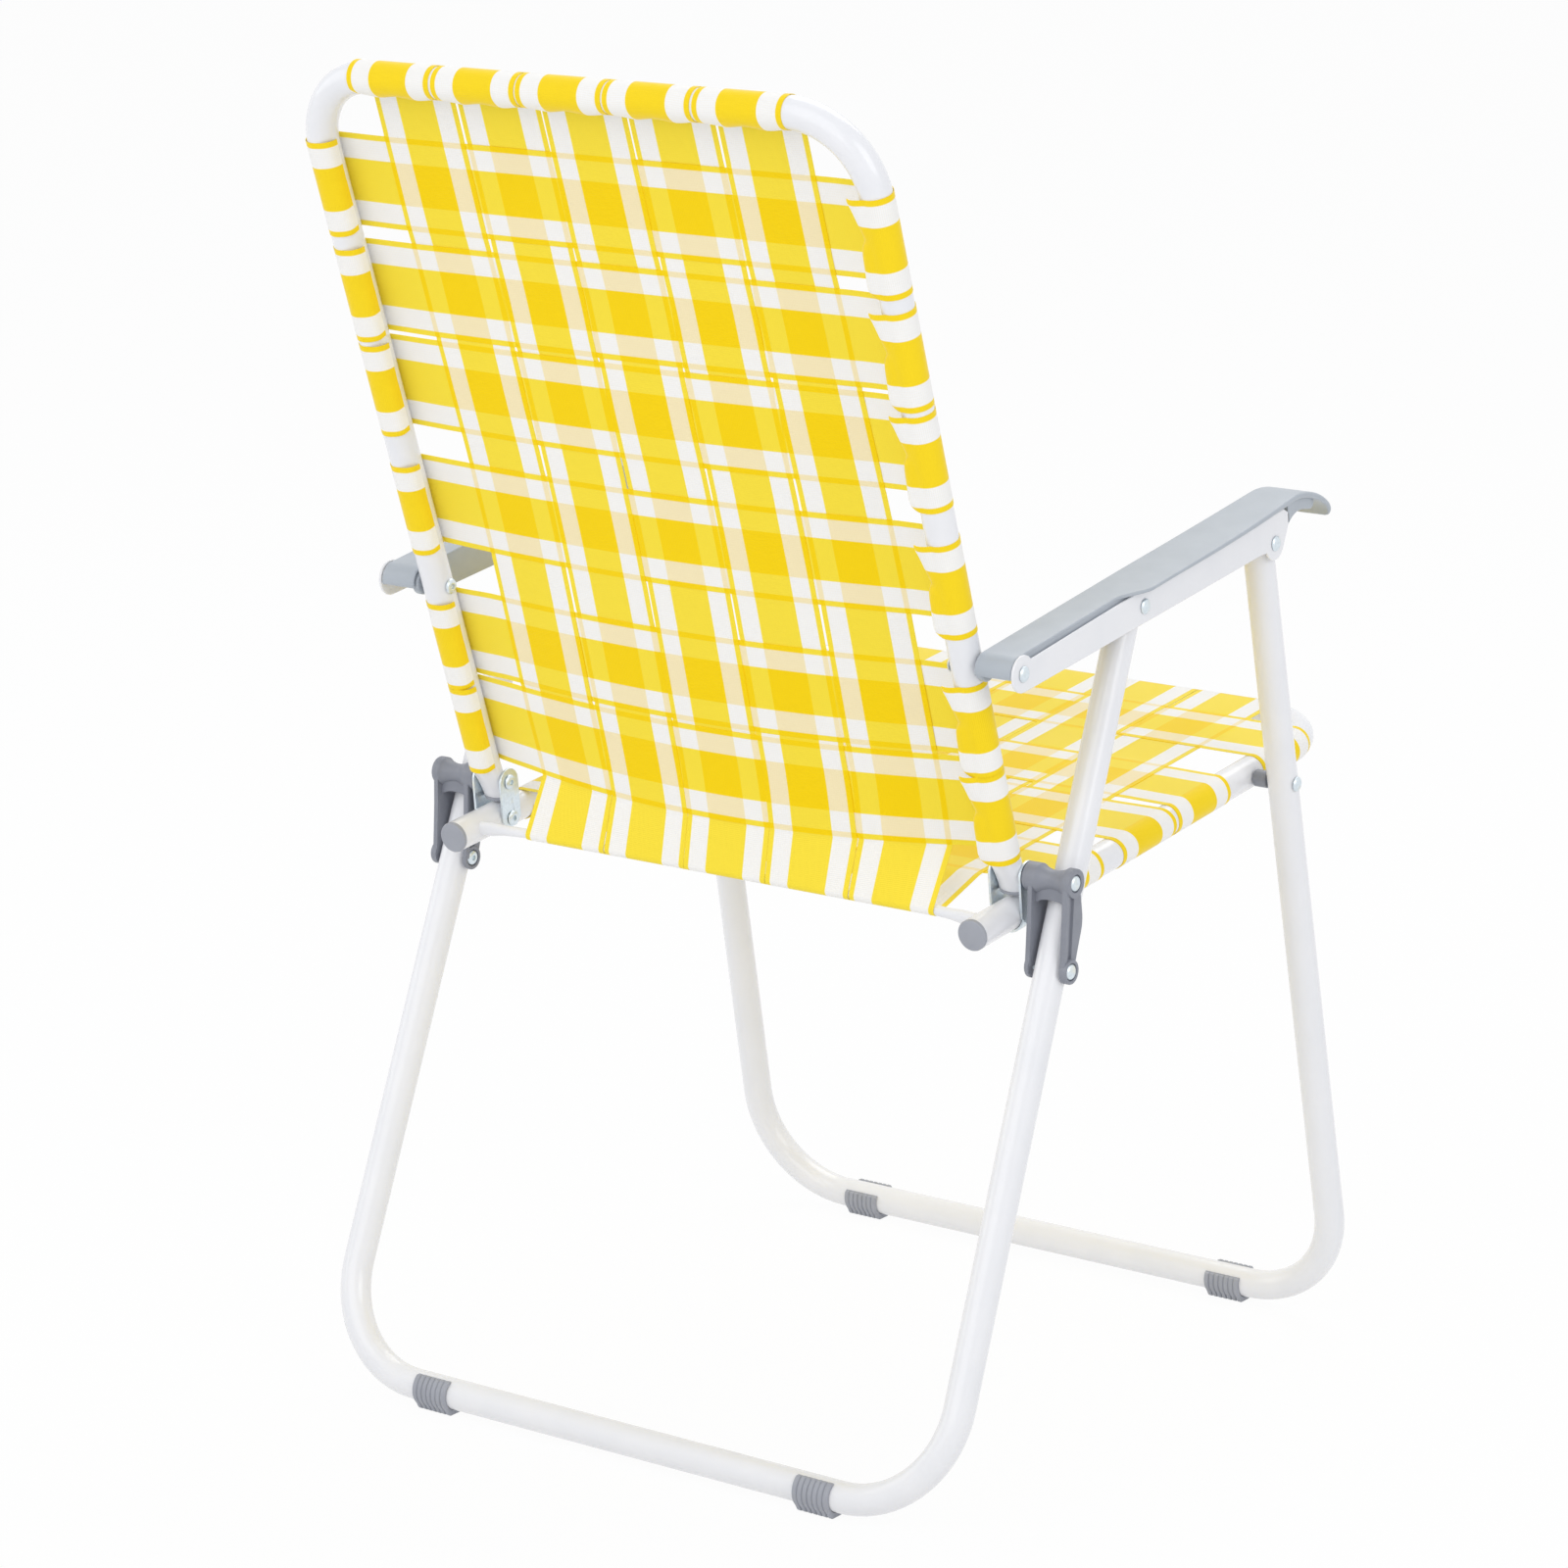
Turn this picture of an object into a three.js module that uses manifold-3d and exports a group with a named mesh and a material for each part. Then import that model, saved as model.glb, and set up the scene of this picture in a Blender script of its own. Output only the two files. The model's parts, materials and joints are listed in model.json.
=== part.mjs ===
// Folding webbed lawn chair, in millimetres, +Z up, facing -Y.
// Two tubular U-shaped leg frames, a seat frame and a back frame of the same tube fold about riveted
// pivots, carried by pressed arms and a moulded link on each side, and are laced with flat webbing.
import * as THREE from 'three';
import { mergeVertices } from 'three/addons/utils/BufferGeometryUtils.js';
import Module from 'manifold-3d';

const wasm = await Module();
wasm.setup();

// Stock
const TUBE_D = 19;
const TUBE_WALL = 1.2;
const ROD_D = 6;
const PLATE_T = 1.5;
const RIVET_D = 4.8;
const RIVET_HEAD_D = 9.4;
const RIVET_HEAD_H = 1.7;
const WEB_W = 59.5;
const WEB_T = 0.9;
const GAP = 0.3;

// Side view: Y runs to the rear from midway between the ground rails, Z up from the floor
const RAIL_REACH = 230;
const HINGE_BEHIND_LEG = 17.3644;
const HINGE_Z = 366;
const ARM_PIVOT_UP = 141.3;
const BACK_BEHIND_HINGE = 5.21;
const ARM_REAR_LEG_Y = 29;
const ARM_REAR_LEG_Z = 515;
const ARM_FRONT_LEG_Y = -118.8;
const ARM_FRONT_LEG_Z = 528.2;
const LINK_LENGTH = 52.11;
const BACK_RECLINE = 18.9;
const SEAT_DROP = 23.5;
const SEAT_RISE = 6.62;
const SEAT_TAIL = 43;
const ROD_BEHIND_HINGE = 27;
const ROD_RAISE = 3.6;
const ROD_END_RAISE = 1.6;

// Front view: distances from the middle plane
const SEAT_X = 192;
const BACK_TOP_X = 195.5;
const LEG_TOP_X = 218.5;
const LEG_FOOT_X = 226;

// Bends of the tube's centre line
const LEG_BEND_R = 65;
const BACK_BEND_R = 48;
const SEAT_BEND_R = 50;

// Pressed lower ends of the back tube
const BACK_END_BELOW = 9;
const PRESS_LENGTH = 30;
const PRESS_SHARE = 0.6;
const PLUG_T = 2.2;

// Plastic end caps and feet
const CAP_T = 2.5;
const STUB_LENGTH = 8;
const FOOT_X = 141;
const FOOT_LENGTH = 25.5;
const FOOT_WALL = 1.9;
const FOOT_BASE = 3.3;
const FOOT_WRAP = 265;
const FOOT_FLAT = 20;
const FOOT_GROOVES = 6;
const GROOVE_SHARE = 0.4;

// Hinge plates beside the seat tube
const HINGE_PLATE_W = 17.5;
const HINGE_PLATE_BELOW = 5.5;
const HOOK_W = 14;
const HOOK_SWEEP = 112;

// Arm channel, pad and nose
const LEG_END_ABOVE = 4;
const ARM_LEG_GAP = 1.7;
const ARM_EAR_R = 11;
const ARM_LOBE_R = 10.5;
const ARM_NECK = 107;
const ARM_NECK_TOP = 12.4;
const ARM_WEB_REAR = 145;
const ARM_WEB_TOP = 14.2;
const ARM_FRONT_TOP = 18.4;
const ARM_FRONT_REACH = 17;
const PAD_REAR_T = 2.1;
const PAD_FRONT_T = 3.8;
const PAD_LIFT = 1.4;
const PAD_W = 34.2;
const PAD_TAPER = 4.5;
const PAD_LIP_REACH = 68;
const PAD_LIP_DROP = 22;
const PAD_LIP_ROUND = 9;
const PAD_BODY_BASE = 3.5;
const PAD_BODY_TOP = 9.9;
const NOSE_R = 10.5;
const NOSE_BOSS_R = 7.5;

// Folding link
const LINK_PLATE_T = 3.2;
const LINK_BOSS_T = 1.4;
const LINK_RIB_T = 1.4;
const LINK_UPPER_R = 8.7;
const LINK_LOWER_R = 7.4;
const LINK_BAR_TOP_W = 13;
const LINK_BAR_FOOT_W = 9;
const LINK_CORE_SHARE = 0.62;
const LINK_WAIST_R = 5.8;
const LINK_WEB_T = 3;
const LINK_WEB_DEPTH = 15;
const LINK_ARCH_RISE = 4;
const LINK_SIDE_GAP = 0.9;
const RIVET_RECESS_R = 5.4;

// Opened pivot: the front leg's hole lets the arm's rivet float as the fold passes through its middle
const FRONT_LEG_FLOAT = 3.8;

// Webbing: places of the straps up the back from the hinge, forward by share of the way to the front leg, and across
const BACK_CROSS = [407, 339, 276.7, 196.6, 103.5, 41.5];
const BACK_BOW = [0, 1, 4.5, 7, 11, 13];
const SEAT_REAR_ROWS = [0.2059, 0.5127, 0.773];
const LAST_ROW_AHEAD = 39.564;
const TOP_RAIL_ABOVE = 72;
const FRONT_RAIL_AHEAD = 65;
const LENGTHWISE_COUNT = 5;
const LENGTHWISE_PITCH = 61.9;
const WRAP_ANGLE = 190;
const STRAP_SPLIT = 6;
const STRAP_SPLIT_GAP = 0.8;

// Facets of the round surfaces
const TUBE_SIDES = 16;
const BORE_SIDES = 8;
const BEND_STEPS = 6;
const RIVET_SIDES = 8;
const BOSS_SIDES = 12;
const FOOT_STEPS = 4;
const WRAP_STEPS = 6;
const ROD_WRAP_STEPS = 5;
const HOOK_STEPS = 8;

// Colours from the object
const WHITE_PAINT = { color: 0xf0f0f4, roughness: 0.3, metalness: 0 };
const ZINC = { color: 0xc8d6e0, roughness: 0.35, metalness: 1 };
const LINK_PLASTIC = { color: 0x7d808a, roughness: 0.5, metalness: 0 };
const CAP_PLASTIC = { color: 0xa0a0aa, roughness: 0.5, metalness: 0 };
const PAD_PLASTIC = { color: 0xc3cad0, roughness: 0.45, metalness: 0 };
const WEBBING = { color: 0xf3d93c, roughness: 0.6, metalness: 0 };

const R = TUBE_D / 2;
const STUB_R = (R - TUBE_WALL) * Math.cos(Math.PI / BORE_SIDES) - GAP;
const radians = THREE.MathUtils.degToRad;
const BACK_HEIGHT = BACK_CROSS[0] + TOP_RAIL_ABOVE;

// Plane vectors in (Y, Z)
const flat = (y, z) => new THREE.Vector2(y, z);
const along = (origin, direction, distance) => origin.clone().addScaledVector(direction, distance);
const unit = (from, to) => to.clone().sub(from).normalize();

const armRearLeg = flat(ARM_REAR_LEG_Y, ARM_REAR_LEG_Z);
const armFrontLeg = flat(ARM_FRONT_LEG_Y, ARM_FRONT_LEG_Z);
const railZ = R + FOOT_BASE;
const rearRail = flat(RAIL_REACH, railZ);
const frontRail = flat(-RAIL_REACH, railZ);
const upLeg = (HINGE_Z - railZ) / (ARM_REAR_LEG_Z - railZ);
const hinge = flat(rearRail.clone().lerp(armRearLeg, upLeg).x + HINGE_BEHIND_LEG, HINGE_Z);

// The back's own axes: a up along its tubes from the hinge, n square to them toward the rear
const backUp = flat(Math.sin(radians(BACK_RECLINE)), Math.cos(radians(BACK_RECLINE)));
const backOut = flat(backUp.y, -backUp.x);
const backPoint = (a, n) => along(along(hinge, backUp, a), backOut, n + BACK_BEHIND_HINGE);
const armBack = backPoint(ARM_PIVOT_UP, 0);

// The seat's own axes: q forward along its tubes from under the hinge, m square to them, upward
const seatForward = flat(-Math.cos(radians(SEAT_RISE)), Math.sin(radians(SEAT_RISE)));
const seatUp = flat(Math.sin(radians(SEAT_RISE)), Math.cos(radians(SEAT_RISE)));
const seatPoint = (q, m) => along(along(hinge, seatUp, m - SEAT_DROP), seatForward, q);
const rodCentre = seatPoint(-ROD_BEHIND_HINGE, ROD_RAISE);

// The arm's own axes: t forward from the back pivot toward the front leg's pivot, h square to that, upward
const armForward = unit(armBack, armFrontLeg);
const armUp = flat(-armForward.y, armForward.x).negate();
const armPoint = (t, h) => along(along(armBack, armForward, t), armUp, h);
const armLength = armBack.distanceTo(armFrontLeg);
const rearLegT = armRearLeg.clone().sub(armBack).dot(armForward);
const rearLegH = armRearLeg.clone().sub(armBack).dot(armUp);

// Where the leg frames meet the seat and the links
const frontLegUp = unit(frontRail, armFrontLeg);
const rearLegUp = unit(rearRail, armRearLeg);
const crossing = (p, d, o, e) => along(p, d, (o.clone().sub(p).cross(e)) / d.cross(e));
const seatLeg = crossing(seatPoint(0, 0), seatForward, frontRail, frontLegUp);
const legReach = seatLeg.distanceTo(seatPoint(0, 0));
const lastRow = legReach + LAST_ROW_AHEAD;
const seatRows = [...SEAT_REAR_ROWS.map((share) => share * legReach), lastRow];
const seatDepth = lastRow + FRONT_RAIL_AHEAD;
const hingeOnLeg = along(rearRail, rearLegUp, hinge.clone().sub(rearRail).dot(rearLegUp));
const legOffset = hinge.distanceTo(hingeOnLeg);
const linkPivot = along(hingeOnLeg, rearLegUp, -Math.sqrt(LINK_LENGTH ** 2 - legOffset ** 2));
const linkDown = unit(hinge, linkPivot);
const linkRear = flat(-linkDown.y, linkDown.x);
const linkPoint = (l, w) => along(along(hinge, linkDown, l), linkRear, w);

// Lateral stations, on the +X side
const legX = (z, topZ) => LEG_FOOT_X + (LEG_TOP_X - LEG_FOOT_X) * (z - railZ) / (topZ - railZ);
const backX = (a) => SEAT_X + (BACK_TOP_X - SEAT_X) * Math.max(a, 0) / BACK_HEIGHT;
const innerPlateX = SEAT_X - R - GAP - PLATE_T;
const outerPlateX = SEAT_X + R + GAP;
const armInnerX = LEG_TOP_X - R - ARM_LEG_GAP - PLATE_T;
const armOuterX = LEG_TOP_X + R + ARM_LEG_GAP + PLATE_T;
const linkLegX = legX((hinge.y + linkPivot.y) / 2, armRearLeg.y);
const linkInnerX = linkLegX - R - LINK_SIDE_GAP;
const linkOuterX = linkLegX + R + LINK_SIDE_GAP;
const hubInnerX = outerPlateX + PLATE_T + GAP;
const linkFaceX = linkOuterX + LINK_PLATE_T + LINK_BOSS_T;
const linkBackX = linkInnerX - LINK_PLATE_T;
const seatLegX = legX(seatLeg.y, armFrontLeg.y);

// Geometry helpers

function welded(geometry) {
  const bare = new THREE.BufferGeometry();
  bare.setAttribute('position', geometry.attributes.position.clone());
  if (geometry.index) bare.setIndex(geometry.index.clone());
  return mergeVertices(bare, 1e-4);
}

function signedVolume(geometry) {
  const p = geometry.attributes.position;
  const [a, b, c] = [new THREE.Vector3(), new THREE.Vector3(), new THREE.Vector3()];
  let volume = 0;
  for (let k = 0; k < geometry.index.count; k += 3) {
    a.fromBufferAttribute(p, geometry.index.getX(k));
    b.fromBufferAttribute(p, geometry.index.getX(k + 1));
    c.fromBufferAttribute(p, geometry.index.getX(k + 2));
    volume += a.dot(b.cross(c)) / 6;
  }
  return volume;
}

function facingOut(geometry) {
  const solid = welded(geometry);
  if (signedVolume(solid) > 0) return solid;
  const index = solid.index.array;
  for (let k = 0; k < index.length; k += 3) [index[k + 1], index[k + 2]] = [index[k + 2], index[k + 1]];
  return solid;
}

function toManifold(geometry) {
  const solid = facingOut(geometry);
  const vertProperties = new Float32Array(solid.attributes.position.array);
  const triVerts = new Uint32Array(solid.index.array);
  return new wasm.Manifold(new wasm.Mesh({ numProp: 3, vertProperties, triVerts }));
}

function fromManifold(manifold) {
  const mesh = manifold.getMesh();
  const geometry = new THREE.BufferGeometry();
  geometry.setAttribute('position', new THREE.BufferAttribute(mesh.vertProperties, 3));
  geometry.setIndex(new THREE.BufferAttribute(mesh.triVerts, 1));
  return geometry;
}

function join(first, ...rest) {
  return fromManifold(rest.reduce((sum, g) => sum.add(toManifold(g)), toManifold(first)));
}

function cut(base, ...tools) {
  return fromManifold(tools.reduce((left, g) => left.subtract(toManifold(g)), toManifold(base)));
}

function mirrored(geometry) {
  return facingOut(geometry.clone().applyMatrix4(new THREE.Matrix4().makeScale(-1, 1, 1)));
}

// A prism of a (Y, Z) outline between two X stations
function slab(outline, xFrom, xTo) {
  const depth = xTo - xFrom;
  const geometry = new THREE.ExtrudeGeometry(new THREE.Shape(outline), { depth, bevelEnabled: false });
  const toSide = new THREE.Matrix4().set(0, 0, 1, xFrom, 1, 0, 0, 0, 0, 1, 0, 0, 0, 0, 0, 1);
  return facingOut(geometry.applyMatrix4(toSide));
}

// A prism of an (X, height) outline, laid across the frame with its middle at a place along it
function laid(outline, width, heightAxis, runAxis, middle) {
  const geometry = new THREE.ExtrudeGeometry(new THREE.Shape(outline), { depth: width, bevelEnabled: false });
  const start = along(middle, runAxis, -width / 2);
  return facingOut(geometry.applyMatrix4(new THREE.Matrix4().set(1, 0, 0, 0,
    0, heightAxis.x, runAxis.x, start.x, 0, heightAxis.y, runAxis.y, start.y, 0, 0, 0, 1)));
}

// Points of an arc about a centre, from one angle to another in degrees
function arc(centre, radius, from, to, steps) {
  return Array.from({ length: steps + 1 }, (_, k) => {
    const angle = radians(from + (to - from) * k / steps);
    return flat(centre.x + radius * Math.cos(angle), centre.y + radius * Math.sin(angle));
  });
}

// A round bar along X
function barX(radius, xFrom, xTo, centre, sides = BOSS_SIDES) {
  const bar = new THREE.CylinderGeometry(radius, radius, xTo - xFrom, sides);
  bar.rotateZ(Math.PI / 2);
  return facingOut(bar.translate((xFrom + xTo) / 2, centre.x, centre.y));
}

// The hole that a rivet turns in, clear of it all round, or by more where the pivot is opened
function drill(xFrom, xTo, centre, extra = 0) {
  const radius = (RIVET_D / 2 + GAP + extra) / Math.cos(Math.PI / RIVET_SIDES);
  return barX(radius, xFrom, xTo, centre, RIVET_SIDES);
}

// A turned piece about an X line: pairs of (radius, x), closed on the line or on themselves
function turnedX(profile, centre, sides = RIVET_SIDES) {
  const lathe = new THREE.LatheGeometry(profile.map(([radius, x]) => flat(radius, x)), sides);
  lathe.rotateZ(-Math.PI / 2);
  return facingOut(lathe.translate(0, centre.x, centre.y));
}

// Stations along a bent tube: straight runs between corners, an arc at each inner corner
class BentTube extends THREE.Curve {
  constructor(corners, bendRadius, steps, endStops) {
    super();
    this.stations = [];
    const last = corners.length - 1;
    const add = (point, tangent) => this.stations.push({ point, tangent });
    const first = corners[1].clone().sub(corners[0]).normalize();
    for (const stop of [0, ...endStops]) add(corners[0].clone().addScaledVector(first, stop), first);
    for (let k = 1; k < last; k += 1) {
      const before = corners[k].clone().sub(corners[k - 1]).normalize();
      const after = corners[k + 1].clone().sub(corners[k]).normalize();
      const turn = before.angleTo(after);
      const start = corners[k].clone().addScaledVector(before, -bendRadius * Math.tan(turn / 2));
      const inward = after.clone().addScaledVector(before, -after.dot(before)).normalize();
      for (let s = 0; s <= steps; s += 1) {
        const angle = turn * s / steps;
        const point = start.clone().addScaledVector(before, bendRadius * Math.sin(angle));
        point.addScaledVector(inward, bendRadius * (1 - Math.cos(angle)));
        const tangent = before.clone().multiplyScalar(Math.cos(angle));
        add(point, tangent.addScaledVector(inward, Math.sin(angle)));
      }
    }
    const end = corners[last].clone().sub(corners[last - 1]).normalize();
    for (const stop of [...endStops].reverse()) add(corners[last].clone().addScaledVector(end, -stop), end);
    add(corners[last].clone(), end);
  }

  station(u) {
    return this.stations[Math.round(u * (this.stations.length - 1))];
  }

  getPoint(u, target = new THREE.Vector3()) {
    return target.copy(this.station(u).point);
  }

  getPointAt(u, target) {
    return this.getPoint(u, target);
  }

  getTangentAt(u, target = new THREE.Vector3()) {
    return target.copy(this.station(u).tangent);
  }
}

function bentTube(corners, bendRadius, endStops = []) {
  const path = new BentTube(corners, bendRadius, BEND_STEPS, endStops);
  const ring = new THREE.Shape().absarc(0, 0, R, 0, 2 * Math.PI);
  ring.holes.push(new THREE.Path(arc(flat(0, 0), R - TUBE_WALL, 360, 0, BORE_SIDES).slice(1)));
  const steps = path.stations.length - 1;
  const settings = { steps, extrudePath: path, curveSegments: TUBE_SIDES / 2, bevelEnabled: false };
  return facingOut(new THREE.ExtrudeGeometry(ring, settings));
}

// A skin through closed sections of equal count, capped at both ends by the section's own outline
function loft(sections, outline) {
  const count = outline.length;
  const index = [];
  for (let s = 0; s + 1 < sections.length; s += 1) {
    for (let k = 0; k < count; k += 1) {
      const [a, b] = [s * count + k, s * count + (k + 1) % count];
      index.push(a, b, b + count, a, b + count, a + count);
    }
  }
  const end = (sections.length - 1) * count;
  for (const [a, b, c] of THREE.ShapeUtils.triangulateShape(outline, [])) {
    index.push(c, b, a, end + a, end + b, end + c);
  }
  const geometry = new THREE.BufferGeometry().setFromPoints(sections.flat());
  geometry.setIndex(index);
  return facingOut(geometry);
}

// A U-shaped frame of tube: from one end up or down to a cross rail and back, the same on both sides
function uFrame(end, endX, corner, cornerX, bendRadius, endStops) {
  const at = (x, p) => new THREE.Vector3(x, p.x, p.y);
  const corners = [at(-endX, end), at(-cornerX, corner), at(cornerX, corner), at(endX, end)];
  return bentTube(corners, bendRadius, endStops);
}

// Frames

function legFrame(rail, pivot) {
  const top = along(pivot, unit(rail, pivot), LEG_END_ABOVE);
  return uFrame(top, legX(top.y, pivot.y), rail, LEG_FOOT_X, LEG_BEND_R);
}

function frontLegFrame() {
  const reach = LEG_FOOT_X + TUBE_D;
  const loose = drill(-reach, reach, armFrontLeg, FRONT_LEG_FLOAT);
  return cut(legFrame(frontRail, armFrontLeg), loose, drill(-reach, reach, seatLeg));
}

function rearLegFrame() {
  const reach = LEG_FOOT_X + TUBE_D;
  return cut(legFrame(rearRail, armRearLeg), drill(-reach, reach, armRearLeg));
}

// The rear rod: level under the straps, dipping at either end to where it is welded to the seat tube
function rearRod() {
  const weld = SEAT_X - R + TUBE_WALL;
  const level = (LENGTHWISE_COUNT - 1) / 2 * LENGTHWISE_PITCH + WEB_W / 2 + 1;
  const stations = [[-weld, ROD_END_RAISE], [-level, ROD_RAISE], [level, ROD_RAISE], [weld, ROD_END_RAISE]];
  const outline = arc(flat(0, 0), ROD_D / 2, 0, 360, BOSS_SIDES).slice(1);
  const sections = stations.map(([x, raise]) => outline.map((p) => {
    const q = seatPoint(p.x - ROD_BEHIND_HINGE, p.y + raise);
    return new THREE.Vector3(x, q.x, q.y);
  }));
  return loft(sections, outline);
}

function seatFrame() {
  const tail = seatPoint(-SEAT_TAIL, 0);
  const tube = uFrame(tail, SEAT_X, seatPoint(seatDepth, 0), SEAT_X, SEAT_BEND_R);
  const reach = SEAT_X + TUBE_D;
  const drilled = cut(tube, drill(-reach, reach, seatLeg), drill(-reach, reach, seatPoint(0, 0)));
  return join(drilled, rearRod());
}

// How far the back tube's section is drawn in toward its front wall, by the height above the hinge
function pressShare(a) {
  const done = THREE.MathUtils.clamp((a + BACK_END_BELOW) / PRESS_LENGTH, 0, 1);
  return PRESS_SHARE + (1 - PRESS_SHARE) * done * done * (3 - 2 * done);
}

function backFrame() {
  const stops = [PRESS_LENGTH * 0.25, PRESS_LENGTH * 0.5, PRESS_LENGTH * 0.75, PRESS_LENGTH];
  const foot = backPoint(-BACK_END_BELOW, 0);
  const tube = uFrame(foot, SEAT_X, backPoint(BACK_HEIGHT, 0), BACK_TOP_X, BACK_BEND_R, stops);
  const p = tube.attributes.position;
  for (let k = 0; k < p.count; k += 1) {
    const offset = flat(p.getY(k), p.getZ(k)).sub(hinge);
    const a = offset.dot(backUp);
    const n = offset.dot(backOut) - BACK_BEHIND_HINGE;
    const moved = backPoint(a, (n + R) * pressShare(a) - R);
    p.setXYZ(k, p.getX(k), moved.x, moved.y);
  }
  const reach = BACK_TOP_X + TUBE_D;
  return cut(tube, drill(-reach, reach, hinge), drill(-reach, reach, armBack));
}

// An oval plug along the back tube: lateral and fore-and-aft radii, between two heights
function ovalPlug(lateral, depth, n, aFrom, aTo) {
  const plug = new THREE.CylinderGeometry(1, 1, aTo - aFrom, TUBE_SIDES);
  plug.scale(lateral, 1, depth);
  plug.rotateX(Math.PI / 2 - radians(BACK_RECLINE));
  const centre = backPoint((aFrom + aTo) / 2, n);
  return plug.translate(SEAT_X, centre.x, centre.y);
}

function backEndPlug() {
  const depth = R * PRESS_SHARE;
  const stubDepth = STUB_R * PRESS_SHARE;
  const foot = -BACK_END_BELOW - GAP;
  const centre = depth - R;
  const flange = ovalPlug(R, depth, centre, foot - PLUG_T, foot);
  const room = BACK_END_BELOW - RIVET_D / 2 - 3 * GAP;
  return join(flange, ovalPlug(STUB_R, stubDepth, centre, foot - PLUG_T / 2, foot + room));
}

function seatEndCap() {
  const profile = [[0, -CAP_T], [R - 1, -CAP_T], [R, -CAP_T + 1], [R, 0], [STUB_R, 0],
    [STUB_R, STUB_LENGTH], [0, STUB_LENGTH]];
  const lathe = new THREE.LatheGeometry(profile.map(([r, y]) => flat(r, y)), BOSS_SIDES);
  lathe.rotateX(Math.PI - radians(SEAT_RISE));
  const end = seatPoint(-SEAT_TAIL - GAP, 0);
  return facingOut(lathe.translate(SEAT_X, end.x, end.y));
}

// Ribbed clip round a ground rail, open up the slope of its leg and flat where it stands
function foot(rail, x, legUp) {
  const inner = (R + GAP) / Math.cos(radians(FOOT_FLAT));
  const pitch = FOOT_LENGTH / (FOOT_GROOVES + 1);
  const outline = [flat(-FOOT_LENGTH / 2, 0), flat(-FOOT_LENGTH / 2, 1)];
  for (let k = 1; k <= FOOT_GROOVES; k += 1) {
    const middle = -FOOT_LENGTH / 2 + k * pitch;
    outline.push(flat(middle - pitch / 4, 1), flat(middle, 1 - GROOVE_SHARE), flat(middle + pitch / 4, 1));
  }
  outline.push(flat(FOOT_LENGTH / 2, 1), flat(FOOT_LENGTH / 2, 0));
  outline.reverse();
  const down = THREE.MathUtils.radToDeg(legUp.clone().negate().angle());
  const [heel, toe] = [270 - FOOT_FLAT, 270 + FOOT_FLAT];
  const rays = [
    ...arc(flat(0, 0), 1, down - FOOT_WRAP / 2, heel, FOOT_STEPS),
    ...arc(flat(0, 0), 1, toe, down + FOOT_WRAP / 2, FOOT_STEPS),
  ];
  const sections = rays.map((ray, k) => {
    const stands = k === FOOT_STEPS || k === FOOT_STEPS + 1;
    const wall = stands ? -railZ / ray.y - inner : FOOT_WALL;
    return outline.map((p) => {
      const reach = inner + p.y * wall;
      return new THREE.Vector3(x + p.x, rail.x + ray.x * reach, rail.y + ray.y * reach);
    });
  });
  return loft(sections, outline);
}

// Hinge plates, arms and links

// Plate beside the seat tube and the back tube's end, rounded over the pivot
function hingePlate(xFrom, below) {
  const half = HINGE_PLATE_W / 2;
  const corner = half * 0.55;
  const low = seatPoint(0, 0);
  const at = (side, height) => along(along(low, seatUp, height), seatForward, -side);
  const outline = arc(flat(0, SEAT_DROP), half, 0, 180, 10).map((p) => at(p.x, p.y));
  outline.push(at(-half, corner - below), at(corner - half, -below));
  outline.push(at(half - corner, -below), at(half, corner - below));
  return slab(outline, xFrom, xFrom + PLATE_T);
}

function pierced(plate, xFrom) {
  const reach = [xFrom - PLATE_T, xFrom + 2 * PLATE_T];
  return cut(plate, drill(...reach, hinge), drill(...reach, seatPoint(0, 0)));
}

const innerHingePlate = () => pierced(hingePlate(innerPlateX, HINGE_PLATE_BELOW), innerPlateX);

// The outer plate ends in a hook that curls under the seat tube
function outerHingePlate() {
  const tube = flat(SEAT_X, 0);
  const start = 20;
  const outside = arc(tube, R + GAP + PLATE_T, start, start - HOOK_SWEEP, HOOK_STEPS);
  const insideR = (R + GAP) / Math.cos(radians(HOOK_SWEEP / HOOK_STEPS / 2));
  const inside = arc(tube, insideR, start, start - HOOK_SWEEP, HOOK_STEPS);
  const hook = laid([...outside, ...inside.reverse()], HOOK_W, seatUp, seatForward, seatPoint(0, 0));
  return pierced(join(hingePlate(outerPlateX, HINGE_PLATE_BELOW), hook), outerPlateX);
}

// Side outline of the arm's walls; the inner wall starts ahead of the pad's nose
function armWall(startT) {
  const onArm = (points) => points.map((p) => armPoint(p.x, p.y));
  const lobe = arc(flat(armLength, 0), ARM_LOBE_R, 200, 330, 6);
  const frontT = armLength + ARM_FRONT_REACH;
  const front = [flat(frontT, ARM_FRONT_TOP * 0.5), flat(frontT, ARM_FRONT_TOP * 0.8),
    flat(frontT - ARM_FRONT_TOP * 0.3, ARM_FRONT_TOP)];
  const top = [flat(ARM_WEB_REAR, ARM_WEB_TOP), flat(ARM_NECK, ARM_NECK_TOP)];
  const lowest = flat(armLength - ARM_LOBE_R * 1.6, -ARM_LOBE_R * 0.3);
  if (startT > 0) {
    const rear = [flat(startT, ARM_EAR_R * 0.65), flat(startT, -ARM_EAR_R * 0.85)];
    return onArm([...rear, lowest, ...lobe, ...front, ...top]);
  }
  const ear = arc(flat(0, 0), ARM_EAR_R, 36, 278, 12);
  return onArm([...ear, lowest, ...lobe, ...front, ...top]);
}

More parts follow.
